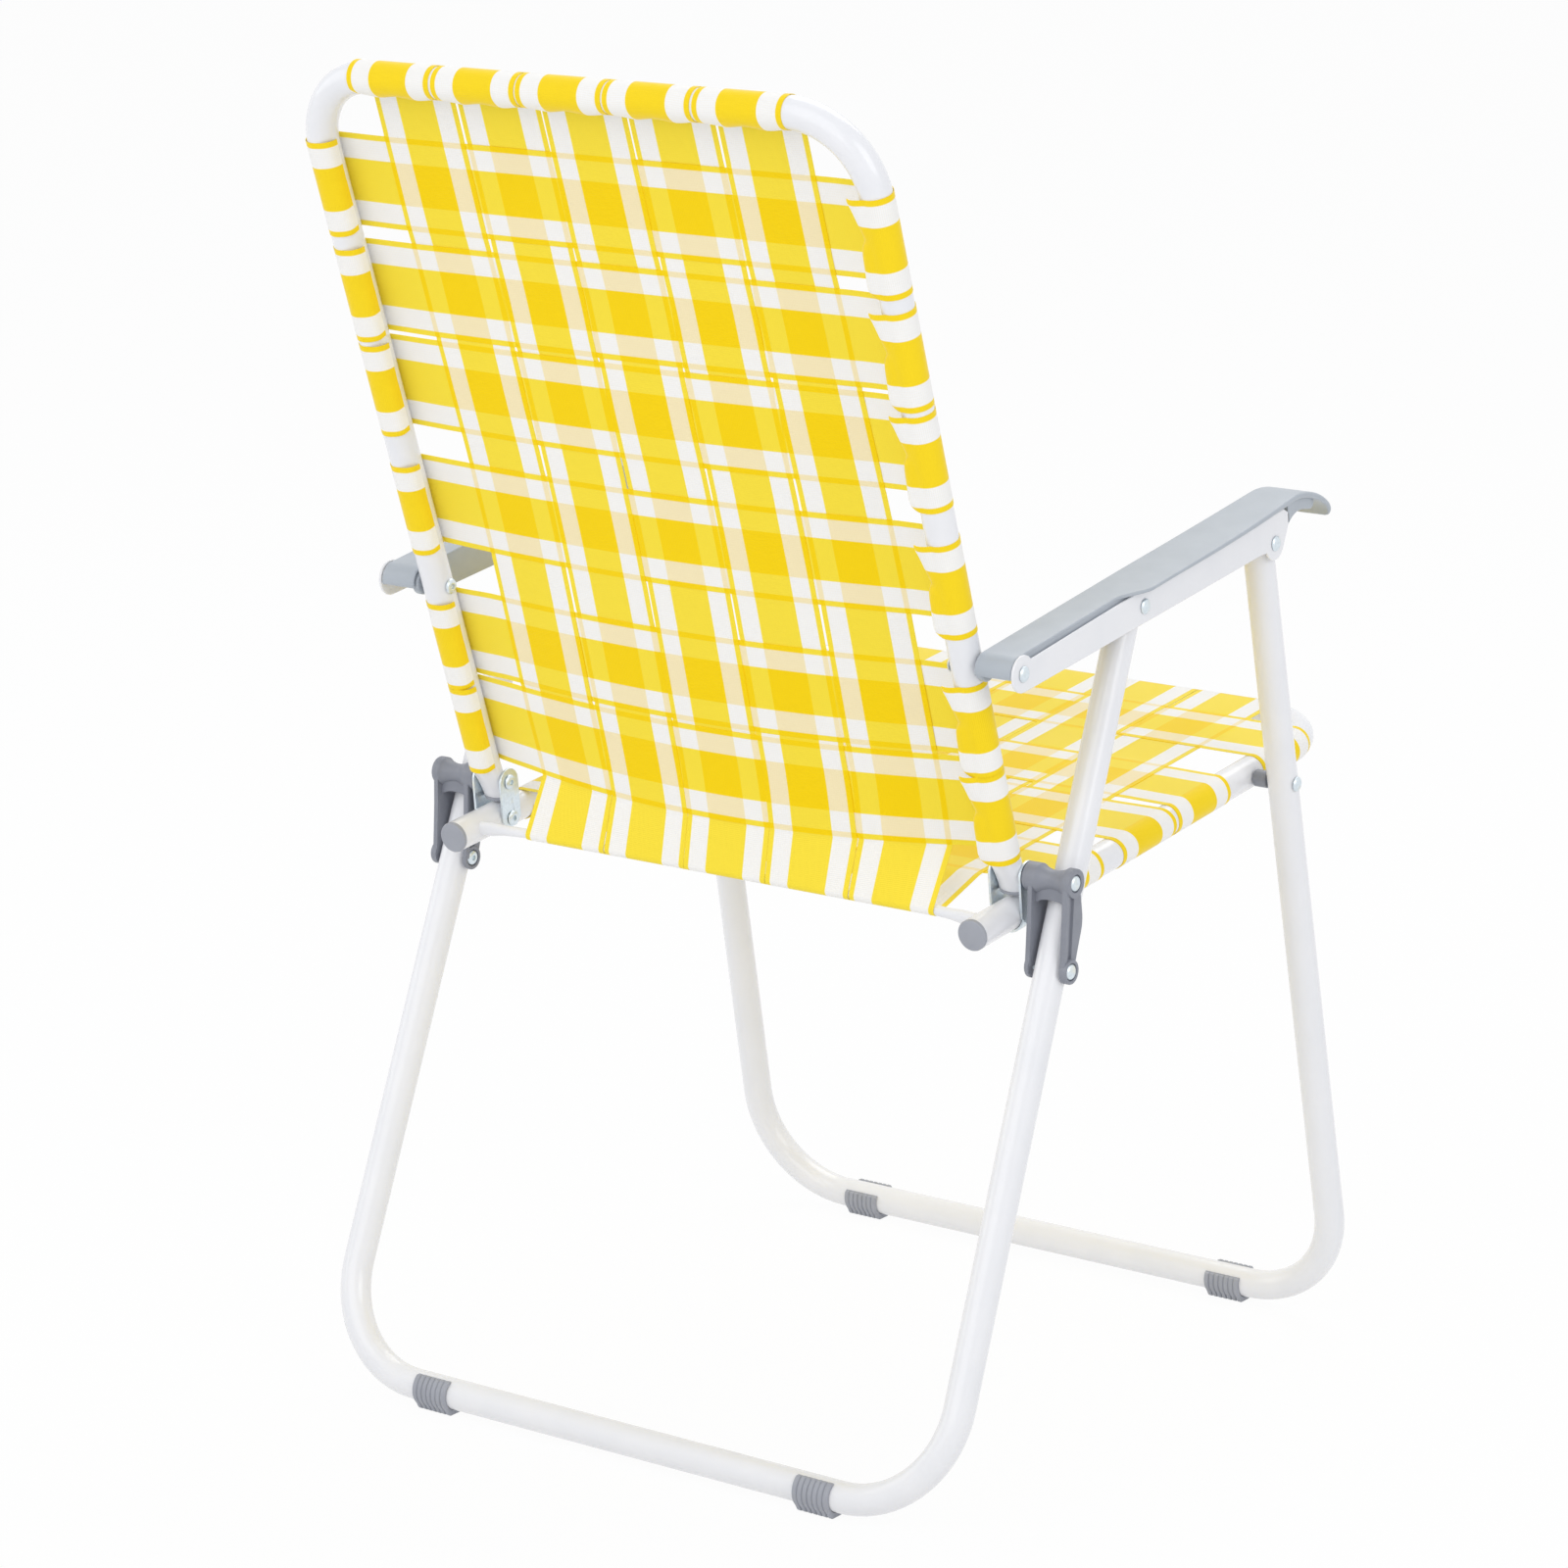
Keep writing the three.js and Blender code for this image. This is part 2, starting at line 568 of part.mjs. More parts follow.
function armChannel() {
  const outer = slab(armWall(0), armOuterX - PLATE_T, armOuterX);
  const inner = slab(armWall(ARM_EAR_R + 2 * GAP), armInnerX, armInnerX + PLATE_T);
  const frontT = armLength + ARM_FRONT_REACH - ARM_FRONT_TOP * 0.3;
  const web = slab([armPoint(ARM_WEB_REAR, ARM_WEB_TOP), armPoint(frontT, ARM_FRONT_TOP),
    armPoint(frontT, ARM_FRONT_TOP - PLATE_T), armPoint(ARM_WEB_REAR, ARM_WEB_TOP - PLATE_T)],
  armInnerX + PLATE_T / 2, armOuterX - PLATE_T / 2);
  const holes = [armBack, armRearLeg, armFrontLeg].map((p) => drill(armInnerX - 1, armOuterX + 1, p));
  return cut(join(outer, inner, web), ...holes);
}

// Section of the pad: flat below, rounded above, between two X stations
function padOutline(xFrom, xTo, height) {
  const round = Math.min(height * 0.7, (xTo - xFrom) / 3);
  const right = arc(flat(xTo - round, height - round), round, 0, 90, 3);
  const left = arc(flat(xFrom + round, height - round), round, 90, 180, 3);
  return [flat(xFrom, height * 0.12), flat(xFrom + height * 0.12, 0), flat(xTo - height * 0.12, 0),
    flat(xTo, height * 0.12), ...right, ...left];
}

function armPad() {
  const bodyIn = armInnerX + PLATE_T + GAP;
  const bodyOut = armOuterX - PLATE_T - GAP;
  const wideOut = armInnerX + PAD_W;
  const lipT = armLength + ARM_FRONT_REACH + GAP;
  const wallTop = (t) => (t < ARM_WEB_REAR
    ? ARM_NECK_TOP + (ARM_WEB_TOP - ARM_NECK_TOP) * (t - ARM_NECK) / (ARM_WEB_REAR - ARM_NECK)
    : ARM_WEB_TOP + (ARM_FRONT_TOP - ARM_WEB_TOP) * (t - ARM_WEB_REAR) / (armLength - ARM_WEB_REAR));
  const share = (t) => THREE.MathUtils.clamp((t - ARM_WEB_REAR) / (lipT - ARM_WEB_REAR), 0, 1);
  const base = (t) => wallTop(t) + PAD_LIFT * (1 + share(t) ** 2);
  const thick = (t) => PAD_REAR_T + (PAD_FRONT_T - PAD_REAR_T) * share(t);
  const sections = [];
  const add = (t, bottom, height, xFrom, xTo, tilt = 0) => {
    const up = flat(Math.sin(radians(tilt)), Math.cos(radians(tilt)));
    sections.push(padOutline(xFrom, xTo, height).map((p) => {
      const q = armPoint(t + up.x * p.y, bottom + up.y * p.y);
      return new THREE.Vector3(p.x, q.x, q.y);
    }));
  };
  const bodyHeight = PAD_BODY_TOP - PAD_BODY_BASE;
  add(0, PAD_BODY_BASE, bodyHeight, bodyIn, bodyOut);
  add(ARM_EAR_R * 2, PAD_BODY_BASE, bodyHeight + 1.4, bodyIn, bodyOut);
  add(ARM_NECK - ARM_EAR_R, PAD_BODY_BASE + 2, bodyHeight + 2, bodyIn, bodyOut);
  add(ARM_NECK - 1, ARM_NECK_TOP + GAP, PAD_REAR_T, bodyIn, bodyOut);
  add(ARM_NECK + 4, wallTop(ARM_NECK + 4) + GAP, PAD_REAR_T, bodyIn, bodyOut + 2.5);
  add(ARM_NECK + 14, base(ARM_NECK + 14), PAD_REAR_T, bodyIn, wideOut - 0.5);
  add(ARM_WEB_REAR, base(ARM_WEB_REAR), PAD_REAR_T, bodyIn, wideOut);
  for (const part of [0.35, 0.68, 0.96]) {
    const t = ARM_WEB_REAR + (lipT - ARM_WEB_REAR) * part;
    add(t, base(t), thick(t), armInnerX, wideOut - PAD_TAPER * part ** 3);
  }
  const lipOut = wideOut - PAD_TAPER;
  const lipReach = PAD_LIP_REACH - ARM_FRONT_REACH - PAD_FRONT_T;
  const lipTurn = 72;
  const lipSteps = 5;
  for (let k = 1; k <= lipSteps; k += 1) {
    const turn = lipTurn * k / lipSteps;
    const t = lipT + lipReach * Math.sin(radians(turn)) / Math.sin(radians(lipTurn));
    const fall = PAD_LIP_DROP * (1 - Math.cos(radians(turn))) / (1 - Math.cos(radians(lipTurn)));
    const inset = PAD_LIP_ROUND * Math.max(0, (k - 2) / (lipSteps - 2)) ** 2;
    const height = PAD_FRONT_T - 0.4 * Math.max(0, k - 3);
    add(t, base(lipT) - fall, height, armInnerX + inset, lipOut - inset, turn);
  }
  const plate = loft(sections, padOutline(bodyIn, bodyOut, PAD_FRONT_T));
  const keelFrom = ARM_WEB_REAR + PAD_LIFT;
  const keelSide = [
    armPoint(keelFrom, wallTop(keelFrom) + GAP),
    armPoint(armLength, wallTop(armLength) + GAP),
    armPoint(armLength, base(armLength) + GAP),
    armPoint(keelFrom, base(keelFrom) + GAP),
  ];
  const keel = slab(keelSide, bodyIn + PAD_FRONT_T, bodyOut - PAD_FRONT_T);
  const nose = barX(NOSE_R, armInnerX, bodyOut, armBack);
  const bossX = backX(ARM_PIVOT_UP) + R + GAP;
  const boss = barX(NOSE_BOSS_R, bossX, armInnerX + 1, armBack);
  return cut(join(plate, keel, nose, boss), drill(bossX - 1, armOuterX, armBack));
}

function foldingLink() {
  const outerEdge = linkOuterX + LINK_PLATE_T;
  const innerEdge = linkInnerX - LINK_PLATE_T;
  const bar = (portion) => {
    const [top, low] = [portion * LINK_BAR_TOP_W / 2, portion * LINK_BAR_FOOT_W / 2];
    return [linkPoint(0, -top), linkPoint(LINK_LENGTH, -low), linkPoint(LINK_LENGTH, low), linkPoint(0, top)];
  };
  const hubSteps = 4;
  const hub = [[0, hubInnerX]];
  hub.push([LINK_UPPER_R, hubInnerX], [LINK_UPPER_R, linkInnerX]);
  for (let k = 1; k < hubSteps; k += 1) {
    const x = linkInnerX + (linkOuterX - linkInnerX) * k / hubSteps;
    const sag = Math.sin(Math.PI * k / hubSteps) ** 0.7;
    hub.push([LINK_UPPER_R - (LINK_UPPER_R - LINK_WAIST_R) * sag, x]);
  }
  hub.push([LINK_UPPER_R, linkOuterX], [LINK_UPPER_R, linkFaceX], [0, linkFaceX]);
  const arch = arc(flat(0, 0), 1, 180, 0, 6);
  const middle = (linkInnerX + linkOuterX) / 2;
  const span = (linkOuterX - linkInnerX) / 2;
  const webSide = [flat(linkInnerX - 1, 0), flat(linkInnerX - 1, LINK_WEB_DEPTH)];
  for (const p of arch) webSide.push(flat(middle + p.x * span, LINK_WEB_DEPTH - LINK_ARCH_RISE * p.y));
  webSide.push(flat(linkOuterX + 1, LINK_WEB_DEPTH), flat(linkOuterX + 1, 0));
  const settings = { depth: LINK_WEB_T, bevelEnabled: false };
  const web = new THREE.ExtrudeGeometry(new THREE.Shape(webSide), settings);
  const root = linkPoint(0, 0);
  web.applyMatrix4(new THREE.Matrix4().set(1, 0, 0, 0, 0, linkDown.x, linkRear.x, root.x,
    0, linkDown.y, linkRear.y, root.y, 0, 0, 0, 1));
  const solid = join(turnedX(hub, hinge, BOSS_SIDES), web,
    slab(bar(LINK_CORE_SHARE), linkOuterX, outerEdge), slab(bar(1), outerEdge - LINK_RIB_T, outerEdge),
    slab(bar(LINK_CORE_SHARE), innerEdge, linkInnerX), slab(bar(1), innerEdge, innerEdge + LINK_RIB_T),
    barX(LINK_LOWER_R, linkOuterX, linkFaceX, linkPivot),
    barX(LINK_LOWER_R, linkBackX, linkInnerX, linkPivot));
  return cut(solid,
    drill(hubInnerX - 1, linkFaceX + 1, hinge), drill(linkBackX - 1, linkFaceX + 1, linkPivot),
    barX(RIVET_RECESS_R, linkFaceX - LINK_BOSS_T, linkFaceX + 1, hinge),
    barX(RIVET_RECESS_R, linkFaceX - LINK_BOSS_T, linkFaceX + 1, linkPivot),
    barX(RIVET_RECESS_R, linkBackX - 1, linkBackX + LINK_BOSS_T, linkPivot));
}

function seatLegSpacer() {
  const from = SEAT_X + R + GAP;
  const to = seatLegX - R - GAP - 0.1;
  const bore = (RIVET_D / 2 + GAP) / Math.cos(Math.PI / RIVET_SIDES);
  return turnedX([[bore, from], [5.4, from], [5.4, to], [bore, to], [bore, from]], seatLeg, BOSS_SIDES);
}

// Rivets: a shank between two X stations, with a domed head at either end where asked
function rivet(centre, xFrom, xTo, headFrom = true, headTo = true) {
  const r = RIVET_D / 2;
  const shares = [[0, 1], [0.7, 0.75], [1, 0]];
  const dome = shares.map(([share, h]) => [share * RIVET_HEAD_D / 2, h * RIVET_HEAD_H]);
  const first = headFrom ? dome.map(([radius, h]) => [radius, xFrom - h]) : [[0, xFrom]];
  const last = headTo ? [...dome].reverse().map(([radius, h]) => [radius, xTo + h]) : [[0, xTo]];
  return turnedX([...first, [r, xFrom], [r, xTo], ...last], centre);
}

// Webbing

// The outline of a strap's side, from its centre line
function ribbon(line) {
  const half = WEB_T / 2;
  const side = (sign) => line.map((p, k) => {
    const before = line[Math.max(k - 1, 0)];
    const after = line[Math.min(k + 1, line.length - 1)];
    const inDir = k > 0 ? unit(before, p) : unit(p, after);
    const outDir = k < line.length - 1 ? unit(p, after) : inDir;
    const mitre = flat(-inDir.y - outDir.y, inDir.x + outDir.x).normalize();
    const square = flat(-inDir.y, inDir.x);
    return along(p, mitre, sign * half / mitre.dot(square));
  });
  return [...side(1), ...side(-1).reverse()];
}

// Round a tube: corners of the strap's centre line that stay clear of the tube's round
function wrapRound(centre, radius, from, sweep, steps = WRAP_STEPS) {
  const step = sweep / steps;
  const corner = radius / Math.cos(radians(step / 2));
  const points = arc(centre, corner, from + step / 2, from + sweep - step / 2, steps - 1);
  return [...points, ...arc(centre, radius, from + sweep, from + sweep, 1).slice(1)];
}

const wrapR = R + GAP + WEB_T / 2;
const rodWrapR = ROD_D / 2 + GAP + WEB_T / 2;
const weave = (WEB_T + GAP) / 2 + 0.05;
const clearance = 1;
const lengthwiseX = Array.from({ length: LENGTHWISE_COUNT },
  (_, i) => (Math.floor(LENGTHWISE_COUNT / 2) - i) * LENGTHWISE_PITCH);

// Where a line from a point touches a circle, as an angle about its centre in degrees
function tangentAngle(centre, radius, point, side) {
  const reach = point.clone().sub(centre);
  const spread = Math.acos(radius / reach.length());
  return THREE.MathUtils.radToDeg(reach.angle() + side * spread);
}

// A cross strap between two side tubes, in (X, height) with the sitting side at -height when side is -1
function crossLine(tubeX, side, overFirst, bow = 0) {
  const middle = [];
  [...lengthwiseX].reverse().forEach((x, k) => {
    const height = side * wrapR + bow + ((k % 2 === 0) === overFirst ? weave : -weave);
    middle.push(flat(x - WEB_W / 2 - clearance, height), flat(x + WEB_W / 2 + clearance, height));
  });
  const tube = flat(tubeX, 0);
  const arrive = tangentAngle(tube, wrapR, middle[middle.length - 1], -side);
  const lead = THREE.MathUtils.euclideanModulo(side * 90 - arrive + 180, 360) - 180;
  const right = wrapRound(tube, wrapR, arrive, lead - side * WRAP_ANGLE);
  const left = right.map((p) => flat(-p.x, p.y)).reverse();
  return [...left, ...middle, ...right];
}

const backCross = (j) => laid(ribbon(crossLine(backX(BACK_CROSS[j]), -1, j % 2 === 1, BACK_BOW[j])), WEB_W,
  backOut, backUp, backPoint(BACK_CROSS[j], 0));
const seatCross = (j) => laid(ribbon(crossLine(SEAT_X, 1, j % 2 === 0)), WEB_W,
  seatUp, seatForward, seatPoint(seatRows[j], 0));

const backOffset = (i, j) => ((i + j) % 2 === 0 ? weave : -weave);
const backDepth = (i, j) => BACK_BOW[j] - wrapR + backOffset(i, j);

// The run from the lowest cross strap of the back down to the rear rod
function rodApproach(i) {
  const last = BACK_CROSS.length - 1;
  const start = backPoint(BACK_CROSS[last] - WEB_W / 2 - clearance, backDepth(i, last));
  const arrive = tangentAngle(rodCentre, rodWrapR, start, -1);
  const [touch] = arc(rodCentre, rodWrapR, arrive, arrive, 1);
  return { start, arrive, toward: unit(start, touch) };
}

const strapPrism = (line, i) => slab(ribbon(line), lengthwiseX[i] - WEB_W / 2, lengthwiseX[i] + WEB_W / 2);

// Down the back: round the top rail, through the cross straps, to just past the hinge's height
function backLengthwise(i) {
  const top = wrapRound(flat(0, BACK_HEIGHT), wrapR, 180, -WRAP_ANGLE).reverse();
  const line = top.map((p) => backPoint(p.y, p.x));
  BACK_CROSS.forEach((a, j) => {
    const n = backDepth(i, j);
    line.push(backPoint(a + WEB_W / 2 + clearance, n), backPoint(a - WEB_W / 2 - clearance, n));
  });
  const { start, toward } = rodApproach(i);
  line.push(along(start, toward, STRAP_SPLIT));
  return strapPrism(line, i);
}

// On along the seat: round the rear rod, through the cross straps, round the front rail
function seatLengthwise(i) {
  const { start, arrive, toward } = rodApproach(i);
  const seatOffset = (j) => -backOffset(i, BACK_CROSS.length + j);
  const first = seatPoint(seatRows[0] - WEB_W / 2 - clearance, wrapR + seatOffset(0));
  const leave = tangentAngle(rodCentre, rodWrapR, first, 1);
  const sweep = ((leave - arrive) % 360 - 360) % 360;
  const line = [along(start, toward, STRAP_SPLIT + STRAP_SPLIT_GAP)];
  line.push(...wrapRound(rodCentre, rodWrapR, arrive, sweep, ROD_WRAP_STEPS));
  seatRows.forEach((q, j) => {
    const m = wrapR + seatOffset(j);
    line.push(seatPoint(q - WEB_W / 2 - clearance, m), seatPoint(q + WEB_W / 2 + clearance, m));
  });
  const front = wrapRound(flat(seatDepth, 0), wrapR, 90, -WRAP_ANGLE);
  line.push(...front.map((p) => seatPoint(p.x, p.y)));
  return strapPrism(line, i);
}

// Assembly

const chair = new THREE.Group();

function place(name, geometry, look) {
  const mesh = new THREE.Mesh(welded(geometry), new THREE.MeshStandardMaterial(look));
  mesh.name = name;
  chair.add(mesh);
}

// The same piece on both sides: built at +X, the sitter's left, and mirrored for the right
function placePair(name, geometry, look) {
  place(`${name}_left`, geometry, look);
  place(`${name}_right`, mirrored(geometry), look);
}

place('back_frame', backFrame(), WHITE_PAINT);
place('seat_frame', seatFrame(), WHITE_PAINT);
place('front_leg_frame', frontLegFrame(), WHITE_PAINT);
place('rear_leg_frame', rearLegFrame(), WHITE_PAINT);
placePair('back_end_plug', backEndPlug(), LINK_PLASTIC);
placePair('seat_end_cap', seatEndCap(), CAP_PLASTIC);
placePair('front_foot', foot(frontRail, FOOT_X, frontLegUp), CAP_PLASTIC);
placePair('rear_foot', foot(rearRail, FOOT_X, rearLegUp), CAP_PLASTIC);
placePair('arm_channel', armChannel(), WHITE_PAINT);
placePair('arm_pad', armPad(), PAD_PLASTIC);
placePair('hinge_plate_inner', innerHingePlate(), ZINC);
placePair('hinge_plate_outer', outerHingePlate(), ZINC);
placePair('folding_link', foldingLink(), LINK_PLASTIC);
placePair('seat_leg_spacer', seatLegSpacer(), LINK_PLASTIC);
const innerHeadX = innerPlateX - GAP;
const linkHeadX = linkFaceX - LINK_BOSS_T + GAP;
const plateEndX = outerPlateX + PLATE_T + GAP;
placePair('hinge_rivet', rivet(hinge, innerHeadX, linkHeadX), ZINC);
placePair('seat_plate_rivet', rivet(seatPoint(0, 0), innerHeadX, plateEndX, true, false), ZINC);
placePair('arm_back_rivet', rivet(armBack, backX(ARM_PIVOT_UP) - R - GAP, armOuterX + GAP), ZINC);
placePair('arm_rear_leg_rivet', rivet(armRearLeg, armInnerX - GAP, armOuterX + GAP), ZINC);
placePair('arm_front_leg_rivet', rivet(armFrontLeg, armInnerX - GAP, armOuterX + GAP), ZINC);
placePair('seat_leg_rivet', rivet(seatLeg, SEAT_X - R - GAP, seatLegX + R + GAP), ZINC);
placePair('link_outer_rivet', rivet(linkPivot, linkOuterX + GAP, linkHeadX, false, true), ZINC);
const linkInnerHeadX = linkBackX + LINK_BOSS_T - GAP;
placePair('link_inner_rivet', rivet(linkPivot, linkInnerHeadX, linkInnerX - GAP, true, false), ZINC);
lengthwiseX.forEach((_, i) => place(`back_lengthwise_strap_${i + 1}`, backLengthwise(i), WEBBING));
BACK_CROSS.forEach((_, j) => place(`back_cross_strap_${j + 1}`, backCross(j), WEBBING));
lengthwiseX.forEach((_, i) => place(`seat_lengthwise_strap_${i + 1}`, seatLengthwise(i), WEBBING));
seatRows.forEach((_, j) => place(`seat_cross_strap_${j + 1}`, seatCross(j), WEBBING));

// The origin lies on the floor under the middle of the chair's outline
const box = new THREE.Box3().setFromObject(chair);
chair.position.set(0, -(box.min.y + box.max.y) / 2, -box.min.z);

export default chair;
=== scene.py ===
# %% [markdown]
# # A folding lawn chair with a woven seat
# The chair has bent white tubes, riveted arms and links, and a seat and back woven from striped webbing.
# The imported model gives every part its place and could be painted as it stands, but its straps are plain
# and its edges sharp. So each piece is made here as a surface in numpy, and each finish as a small tree
# of shader nodes.

import json

import bmesh
import bpy
import numpy as np
from mathutils import Matrix, Vector

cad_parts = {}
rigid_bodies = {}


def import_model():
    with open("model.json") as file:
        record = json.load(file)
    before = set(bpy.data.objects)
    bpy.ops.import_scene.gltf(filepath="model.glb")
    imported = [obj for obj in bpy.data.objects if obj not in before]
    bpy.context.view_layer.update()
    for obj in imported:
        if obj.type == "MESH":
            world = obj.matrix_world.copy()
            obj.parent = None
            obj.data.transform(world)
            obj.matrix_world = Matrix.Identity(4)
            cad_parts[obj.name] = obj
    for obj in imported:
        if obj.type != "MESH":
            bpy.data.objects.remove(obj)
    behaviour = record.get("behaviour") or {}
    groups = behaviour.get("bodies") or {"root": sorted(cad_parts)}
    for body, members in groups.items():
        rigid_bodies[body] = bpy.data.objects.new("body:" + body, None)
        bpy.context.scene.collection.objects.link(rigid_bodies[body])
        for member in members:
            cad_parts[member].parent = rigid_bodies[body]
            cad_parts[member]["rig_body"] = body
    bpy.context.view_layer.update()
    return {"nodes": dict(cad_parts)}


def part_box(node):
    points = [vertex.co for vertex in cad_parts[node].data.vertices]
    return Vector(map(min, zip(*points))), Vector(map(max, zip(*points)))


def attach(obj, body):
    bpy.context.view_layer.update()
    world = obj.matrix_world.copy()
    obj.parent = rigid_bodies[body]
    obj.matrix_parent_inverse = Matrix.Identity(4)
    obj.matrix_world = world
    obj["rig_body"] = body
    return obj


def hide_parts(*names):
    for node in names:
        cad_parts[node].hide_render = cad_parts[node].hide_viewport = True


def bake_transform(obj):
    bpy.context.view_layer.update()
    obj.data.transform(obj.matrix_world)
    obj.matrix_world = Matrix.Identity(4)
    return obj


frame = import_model()
nodes = frame["nodes"]

# %% [markdown]
# ## The two woven planes
# The back leans and the seat rises to the front. Turned empties could carry points on them, but whole
# arrays can go through a function at once. Sizes are in millimetres until a mesh is made, and SHIFT moves
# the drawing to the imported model's middle.

# %% Planes of the back and the seat
MM = 0.001
SHIFT = -4.9212
HINGE = np.array([106 + SHIFT, 366.0])
BACK_BEHIND, SEAT_DROP = 5.21, 23.5
BACK_TOP, SEAT_FRONT = 479.0, 362.0
recline, rise = np.radians([18.9, 6.62])
back_up = np.array([np.sin(recline), np.cos(recline)])
back_out = np.array([back_up[1], -back_up[0]])
seat_forward = np.array([-np.cos(rise), np.sin(rise)])
seat_up = np.array([np.sin(rise), np.cos(rise)])


def on_plane(x, along, above, origin, run, lift):
    """x stays; along and above are measured from an origin, on two directions in the side view."""
    x, along, above = np.broadcast_arrays(x, along, above)
    side = origin + along[..., None] * run + above[..., None] * lift
    return np.concatenate([x[..., None], side], axis=-1)


def on_back(x, a, n):
    """A point of the back: a up the slope from the hinge, n behind the middle of the tube."""
    return on_plane(x, a, n, HINGE + BACK_BEHIND * back_out, back_up, back_out)


def on_seat(x, q, m):
    """A point of the seat: q forward of the hinge, m above the middle of the tube."""
    return on_plane(x, q, m, HINGE - SEAT_DROP * seat_up, seat_forward, seat_up)


print("top and front", on_back(0, BACK_TOP, 0).round(1), on_seat(0, SEAT_FRONT, 0).round(1))

# %% [markdown]
# ## Camera
# The photograph looks down on the chair from behind through a long lens. A constraint could aim the
# camera, but its directions were worked out from the tubes, so they are written as the columns of a turn.

# %% Camera
CAMERA_PLACE = (-1.7885, 2.5472 + SHIFT * MM, 1.1411)
CAMERA_RIGHT, CAMERA_UP = (-0.8113, -0.5847, 0.0), (0.1407, -0.1952, 0.9706)
CAMERA_TOWARD = (-0.5675, 0.7874, 0.2406)


def placed(name, data):
    """A new object for some data, linked into the scene."""
    made = bpy.data.objects.new(name, data)
    bpy.context.scene.collection.objects.link(made)
    return made


camera_data = bpy.data.cameras.new("camera")
camera_data.sensor_width, camera_data.lens, camera_data.clip_end = 36.0, 119.56, 200.0
camera = placed("camera", camera_data)
camera_turn = Matrix((CAMERA_RIGHT, CAMERA_UP, CAMERA_TOWARD)).transposed().to_4x4()
camera.matrix_world = Matrix.Translation(CAMERA_PLACE) @ camera_turn
bpy.context.scene.camera = camera
bpy.context.scene.view_settings.view_transform = "Standard"
print("camera", [round(v, 3) for v in camera.location])

# %% [markdown]
# ## Shader values as Python numbers
# A node tree could be built link by link, but it is easier to read as a formula. One class wraps a
# socket, so that + and * add Math nodes and one method adds any other node, and plug() sets the inputs of
# a node.


# %% The wrapper for sockets
class Value:
    """A socket in a node tree: operators add Math nodes, and node() adds any other node."""

    def __init__(self, tree, socket=None):
        self.tree = tree
        self.socket = socket

    def node(self, kind, settings=None, inputs=None, output=0):
        made = self.tree.nodes.new(kind)
        for key, setting in (settings or {}).items():
            setattr(made, key, setting)
        plug(made, inputs or {})
        return Value(self.tree, made.outputs[output])

    def math(self, operation, first, second=0.0, clamp=False):
        settings = {"operation": operation, "use_clamp": clamp}
        return self.node("ShaderNodeMath", settings, {0: first, 1: second})

    def __add__(self, other):
        return self.math("ADD", self, other)

    def __sub__(self, other):
        return self.math("SUBTRACT", self, other)

    def __rsub__(self, other):
        return self.math("SUBTRACT", other, self)

    def __mul__(self, other):
        return self.math("MULTIPLY", self, other)

    def clamped(self):
        return self.math("ADD", self, 0.0, clamp=True)

    def largest(self, other):
        return self.math("MAXIMUM", self, other)

    def wave(self, pitch):
        """Ridges from 0 to 1, one for each pitch of this value: half of a sine, plus a half."""
        return self.math("SINE", self * (2 * np.pi / pitch)) * 0.5 + 0.5

    def noise(self, scale, detail):
        """Cloudy noise at the place that this value holds."""
        inputs = {"Vector": self, "Scale": scale, "Detail": detail}
        return self.node("ShaderNodeTexNoise", None, inputs, "Fac")

    def between(self, first, second):
        """A mix of two colours, by this value."""
        return self.node("ShaderNodeMix", {"data_type": "RGBA"}, {0: self, 6: first, 7: second}, 2)


def plug(node, inputs):
    """Sets a node's inputs by name or number: a Value is linked, and anything else is a constant."""
    for key, value in inputs.items():
        if isinstance(value, Value):
            node.id_data.links.new(value.socket, node.inputs[key])
        else:
            node.inputs[key].default_value = value


print("shader values ready")

# %% [markdown]
# ## Materials by name
# Every finish on the chair is one Principled shader. Each could be set up from the start, but they share
# their first steps, so that a finish further down is only its own values.

# %% Helpers for materials
finishes = {}


def colour(red, green, blue):
    """A screen colour from 0 to 255 as the linear colour that a shader takes."""
    level = np.array([red, green, blue]) / 255
    linear = np.where(level <= 0.04045, level / 12.92, ((level + 0.055) / 1.055) ** 2.4)
    return (*linear.tolist(), 1.0)


def new_finish(name):
    """A new material, kept by name: its shader, and a value to start from."""
    material = bpy.data.materials.new(name)
    material.use_nodes = True
    finishes[name] = material
    return material.node_tree.nodes["Principled BSDF"], Value(material.node_tree)


def bumped(shader, height, strength, distance):
    """Tilts the shading as if the surface rose by a height from 0 to 1 times a distance in metres."""
    inputs = {"Strength": strength, "Distance": distance, "Height": height}
    plug(shader, {"Normal": height.node("ShaderNodeBump", None, inputs)})


def mixed_shader(factor, first, second):
    """Two shaders mixed by a factor: 0 gives the first and 1 the second."""
    return first.node("ShaderNodeMixShader", None, {0: factor, 1: first, 2: second})


print("material helpers ready")

# %% [markdown]
# ## Floor and light
# The chair stands on plain white. A white plane under strong lamps would do, but it would flood the chair
# from below. So rays that are seen meet a floor that glows white, with a little matt in it for a soft
# shadow, and rays that light the chair meet a pale floor. The world is split in the same way.

# %% Floor, world and lamps
FLOOR_HALF = 40
WHITE = (1, 1, 1, 1)


def seen_rays(value):
    """1 for rays of the camera, of reflections and of clear materials, 0 for rays that light things."""
    kinds = ("Is Camera Ray", "Is Glossy Ray", "Is Transmission Ray")
    seen, glossy, clear = (value.node("ShaderNodeLightPath", output=kind) for kind in kinds)
    return seen.largest(glossy).largest(clear)


